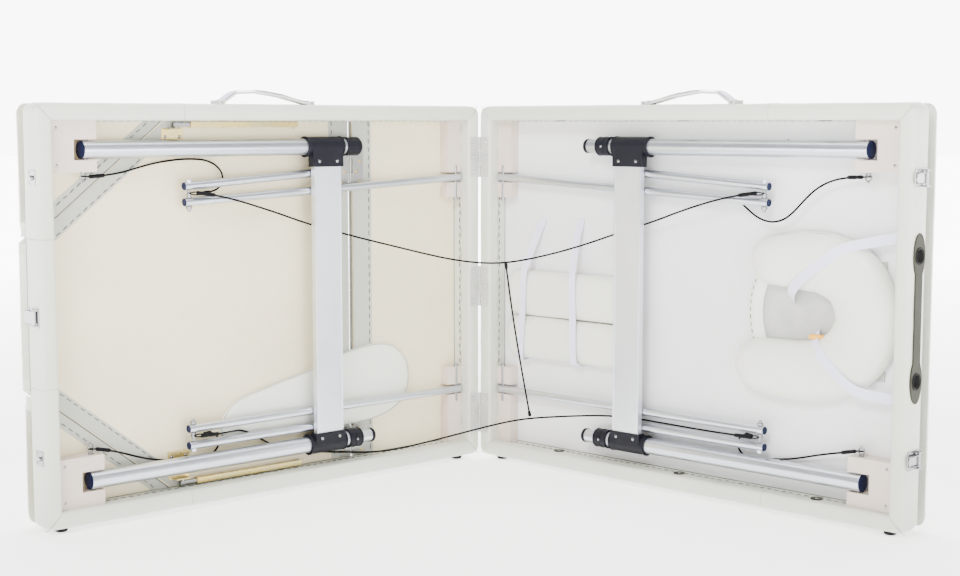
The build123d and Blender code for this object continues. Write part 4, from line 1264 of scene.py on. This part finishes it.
for h in HALVES:
    side = h.name
    plugs, bolts = Shape(h), Shape(h)
    for v0, v1 in LONG_V:
        rise = (v1 - v0) / LONG_STRUT_RUN
        plug(plugs, (KNEE_U + 9, v1 + 9 * rise, STRUT_W), (KNEE_U, v1, STRUT_W), STRUT_R)
        up = 1 if v0 > 350 else -1
        # the knee's washers, nut and spacer
        for a, b, r in (
            (v1 - up * STRUT_R, v1 - up * (STRUT_R + 5.2), 4.6),
            (v1 - up * (STRUT_R + 5.2), v1 - up * (STRUT_R + 9.5), 2.9)
        ):
            bolts.rod((KNEE_U, a, STRUT_W), (KNEE_U, b, STRUT_W), r, 6 if r > 4 else 14)
        bolts.turned(
            (KNEE_U, v1 + up * STRUT_R, STRUT_W), (KNEE_U, v1 + up * 30, STRUT_W),
            [(0, 5.2), (1.2, 5.2), (1.4, 4), (4.5, 4), (4.7, 5.6), (6.6, 5.6), (6.8, 3.6), (9.6, 3.4)],
            18
        )
        dome(bolts, (40, v0 - up * 6.9, STRUT_W - 4.8), (0, 0, -1), 2.4)
    plugs.done(f"{side}_long_strut_plugs", "navy", f"{side}_long")
    short_plugs = Shape(h)
    for q0, q1 in SHORT_V:
        fallaway = (q1 - q0) / SHORT_STRUT_RUN
        up = 1 if q0 > 350 else -1
        plug(short_plugs, (KNEE_U + 9, q1 + 9 * fallaway, STRUT_W), (KNEE_U, q1, STRUT_W), STRUT_R)
        plug(
            short_plugs, (SHORT_END_U - 4.5, q0 - 4.5 * fallaway, STRUT_W),
            (SHORT_END_U, q0, STRUT_W), STRUT_R
        )
    short_plugs.done(f"{side}_short_strut_plugs", "navy", f"{side}_short")
    bolts.done(f"{side}_knee_hardware", "zinc", f"{side}_long", "zinc_bolts")
    # washers, nuts and sockets at the eye bolts and leg pivots
    eyes = Shape(h)
    for v, up in ((578, 1), (122, -1)):
        eyes.turned(
            (850, v + up * 4.6, 28), (850, v + up * 20, 28),
            [(0, 2.2), (0.2, 4.4), (2.6, 4.4), (2.8, 2.6)], 6
        )
        eyes.turned(
            (850, v - up * 5.6, 28), (850, v - up * 20, 28),
            [(-1, 2), (0.5, 2.4), (3.4, 2.0), (3.6, 0)], 14
        )
    for v in LEG_V:
        for t in (-1, 1):
            dome(eyes, (850, v + t * 14.7, LEG_W), (0, t, 0), 5.0, 2.2)
            dome(eyes, (700, v + t * 14.8, LEG_W), (0, t, 0), 2.4, 1.6) if t > 0 else None
    eyes.done(f"{side}_eye_bolt_nuts", "zinc", side, "zinc_bolts")
    # tube feet: a dark ring and rubber tip on each
    for row, v in (("upper", LEG_V[0]), ("lower", LEG_V[1])):
        node = f"{side}_{row}_foot"
        home = side == "left" and row == "upper"
        tip = 288.5 if home else 258
        foot = Shape(h)
        if home:
            foot.turned(
                (tip + 2, v, LEG_W), (tip - 10, v, LEG_W),
                [(-1, 12), (0.5, 15.6), (3, 15.4), (5.5, 13.2), (7.4, 8.6), (8.2, 3), (8.3, 0)], 28
            )
        else:
            foot.turned(
                (tip + 4, v, LEG_W), (tip - 10, v, LEG_W),
                [
                    (-3, 12.7), (-2.8, 13.6), (1, 13.7), (3.4, 13.2), (5.2, 11.0), (5.6, 8.0),
                    (4.4, 6.6), (4.0, 0)
                ],
                28
            )
        foot.done(f"{node}_tip", "dark", node, "dark_plastic")
    # spring buttons on the inner tubes' collars
    s = Shape(h)
    for v in LEG_V:
        if not (side == "left" and v > 300):
            dome(s, (305, v, LEG_W - 17.3), (0, 0, -1), 2.6, 1.8)
    s.done(f"{side}_height_buttons", "zinc", f"{side}_legs", "zinc_bolts")
    # the connectors' ribs, collars and screws
    s, t = Shape(h), Shape(h)
    for v, socket in zip(LEG_V, ((587.5, 624), (70, 92))):
        for u in (330, 408):
            s.turned(
                (u - 2, v, LEG_W), (u + 2, v, LEG_W),
                [(0, 18.6), (0.6, 19.4), (3.4, 19.4), (4, 18.6)], 36
            )
        for u in (292, 306, 318):
            if not (side == "left" and v > 300):
                s.turned(
                    (u - 1.2, v, LEG_W), (u + 2, v, LEG_W),
                    [(0, 17.6), (0.4, 18.2), (2, 18.2), (2.4, 17.6)], 36
                )
        inner = socket[0] if v > 300 else socket[1]
        t_v = inner + (10 if v > 300 else -10)
        for u in (348, 388):
            dome(t, (u, t_v, 2.6), (0, 0, -1), 3.2, 1.4)
    s.done(f"{side}_connector_rings", "dark", f"{side}_legs", "dark_plastic")
    t.done(f"{side}_connector_screws", "zinc", f"{side}_legs", "zinc_bolts")
    # edge beads of the crossbar's extrusion
    s = Shape(h)
    for u in (339.6, 396.4):
        s.box((u - 1.4, u + 1.4), (95, 585), (3.6, 6), 0.6)
    s.done(f"{side}_crossbar_beads", "bar", f"{side}_legs", "aluminium_tube")
    # rivets of the fold's hinges, each ringed by a flush dark circle of painted shade
    s, t = Shape(h), Shape(h)
    for mid in (600, 342, 85):
        for dv in (-30, 0, 30):
            s.turned(
                (15.5, mid + dv, -1.35), (15.5, mid + dv, -5),
                [(0, 4.3), (0.1, 4.3), (0.1, 3.7), (0, 3.7)], 24
            )
            dome(t, (15.5, mid + dv, -1.4), (0, 0, -1), 3.7, 0.17)
    s.done(f"{side}_hinge_rivet_rims", "shade", side)
    t.done(f"{side}_hinge_rivets", "handle", side)
    # screws in the wooden blocks
    s = Shape(h)
    for low, high in ((587, 672), (28, 113)):
        for u, v in ((905, low + 12), (905, high - 12)):
            dome(s, (u, v, 14.2), (0, 0, -1), 3.0, 0.8)
    s.done(f"{side}_block_screws", "zinc", side, "zinc_bolts")
    # grommets or vents on the handle ends
    s = Shape(h)
    for u in (399, 590):
        dome(s, (u, 707, 24), (0, 1, 0), 3.4, 1.6)
        for t in (-1, 1):
            s.rod((u, 703.5, 24 - t * 12.8), (u, 703.5, 24 - t * 14.6), 1.8, 12)
    s.done(f"{side}_handle_screws", "zinc", side)

# brass screws in the backrest's hinges
s, t = Shape(L), Shape(L)
for low, high in ((548, 624), (30, 88)):
    for i in range(4):
        v = low + 8 + (high - low - 16) * i / 3
        dome(s, (272 if i % 2 else 264, v, 44.6), (0, 0, -1), 3.0, 1.2)
        dome(t, (300 if i % 2 else 308, v, 45.0), (0, 0, -1), 3.0, 1.2)
s.done("back_hinge_screws_fixed", "brass", "left")
t.done("back_hinge_screws_moving", "brass", "backrest")
s = Shape(L)
for v, side in ((665, -1), (35, 1)):
    flange = v + side * 7
    for du in (657, 685):
        for dv in (14, 40):
            dome(s, (du, flange + side * dv, 44.4), (0, 0, -1), 3.0, 1.3)
    s.turned(
        (667, flange, 38), (667, v - side * 12, 38),
        [(-2.4, 4.4), (-0.4, 4.4), (0, 3), (10, 2.8), (10.3, 4.2), (12, 4.0)], 18
    )
s.done("support_plate_screws", "zinc", "backrest", "bright_steel")

# latch details: wire bails, screws
for h, at_v in ((R, (580, 121)),):
    s = Shape(h)
    for v in at_v:
        for dv in (-12.5, 12.5):
            for w in (12, 20):
                dome(s, (END + 2, v + dv, w), (1, 0, 0), 2.0, 0.9)
        bail = [
            (END + 7.5, v - 8.5, 33), (END + 8.4, v - 8.5, 20), (END + 8.0, v - 8.5, 6),
            (END + 6.5, v - 5, 1.5), (END + 6.5, v + 5, 1.5), (END + 8.0, v + 8.5, 6),
            (END + 8.4, v + 8.5, 20), (END + 7.5, v + 8.5, 33)
        ]
        s.tube(smooth_line(bail, 4), 1.0, 8)
    s.done("right_latch_bails", "chrome", "right", "chrome_hardware")
s = Shape(L)
for v in (580, 121):
    for dv in (-8, 8):
        dome(s, (END + 2, v + dv, 26), (1, 0, 0), 2.0, 0.9)
    s.turned((END + 4.8, v, 13), (END + 8, v, 13), [(0, 3.4), (0.3, 4.6), (1.6, 4.6), (2.0, 3.8)], 18)
for dv in (-12.5, 12.5):
    for w in (26, 38):
        dome(s, (END + 2, 353 + dv, w), (1, 0, 0), 2.2, 0.9)
s.done("left_latch_details", "chrome", "left", "chrome_hardware")
# webbing over the handles' grips
for h in HALVES:
    s = Shape(h)
    s.band(
        [
            tuple(p)
            for p in smooth_line(
                [
                    (394, 706.2, 24), (404, 706.3, 24), (430, 711, 24), (460, 718.6, 24),
                    (485, 722.6, 24), (510, 725.4, 24), (535, 725.0, 24), (557, 723.2, 24),
                    (575, 714, 24), (585, 706.8, 24), (595, 706.4, 24)
                ],
                5
            )
        ],
        19, 1.0, facing=(0, 1, 0)
    )
    s.done(f"{h.name}_handle_webbing", "elastic", h.name, "white_handle", angle=60)

# the sockets behind the grip plate, and a raised rim round each
s = Shape(R)
for v in POST_V:
    cup = [(27.6, 0), (27.6, 12), (0.4, 12), (0.4, POST_R), (27, POST_R), (27, 0)]
    s.turned((END + 3, v, POST_W), (END - 10, v, POST_W), cup, 32)
    rim = [(0.2, 12), (-0.9, 12.4), (-1.2, 13.2), (-0.8, 14.2), (0.2, 14.6)]
    s.turned((END + 3, v, POST_W), (END - 10, v, POST_W), rim + rim[:1], 32)
s.done("post_sockets", "black", "right", "olive_plastic")

# ---------------------------------------------------------------- stage
floor_mesh = bpy.data.meshes.new("floor")
b = bmesh.new()
bmesh.ops.create_circle(b, cap_ends=True, segments=96, radius=30)
b.to_mesh(floor_mesh)
b.free()
floor = bpy.data.objects.new("floor", floor_mesh)
bpy.context.collection.objects.link(floor)
mat, tree, shader = principled("floor_paper", (0.93, 0.93, 0.93), 0.9)
p = coords(tree)
link(tree, ramp(tree, noise_tex(tree, p, 2.5), 0.90, 0.93), shader.inputs["Base Color"])
# the flat floor glows, more strongly away from the table: painted light that blends it into the backdrop
distance = tree.nodes.new("ShaderNodeVectorMath")
distance.operation = "LENGTH"
link(tree, p, distance.inputs[0])
reach = tree.nodes.new("ShaderNodeMapRange")
reach.inputs["From Min"].default_value, reach.inputs["From Max"].default_value = 0.9, 5.0
reach.inputs["To Min"].default_value, reach.inputs["To Max"].default_value = 1.6, 8.0
link(tree, distance.outputs["Value"], reach.inputs["Value"])
shader.inputs["Emission Color"].default_value = (1, 1, 1, 1)
link(tree, reach.outputs["Result"], shader.inputs["Emission Strength"])
floor_mesh.materials.append(mat)

world = bpy.data.worlds.new("studio")
world.use_nodes = True
# a backdrop that is brightest behind the table and softer towards the front
sky = world.node_tree
backdrop = sky.nodes["Background"]
backdrop.inputs["Strength"].default_value = 1.0
towards = sky.nodes.new("ShaderNodeTexCoord")
split = sky.nodes.new("ShaderNodeSeparateXYZ")
link(sky, towards.outputs["Generated"], split.inputs["Vector"])
link(sky, ramp(sky, split.outputs["Y"], 0.85, 9.0, 0.3, 0.8), backdrop.inputs["Color"])
bpy.context.scene.world = world


def area(name, place, target, size, power, color=(1, 1, 1)):
    light = bpy.data.lights.new(name, "AREA")
    light.shape = "RECTANGLE"
    light.size, light.size_y = size
    light.energy = power
    light.color = color
    lamp = bpy.data.objects.new(name, light)
    bpy.context.collection.objects.link(lamp)
    lamp.location = place
    lamp.rotation_euler = (Vector(target) - Vector(place)).to_track_quat("-Z", "Y").to_euler()


area("key", (-1.4, -3.2, 3.1), (0, 0, 0.35), (1.5, 1.1), 230)
area("fill", (2.6, -3.0, 1.6), (0, 0, 0.35), (1.6, 1.6), 80)
area("top", (0, 0.3, 3.2), (0, 0, 0.3), (3.0, 2.0), 90)
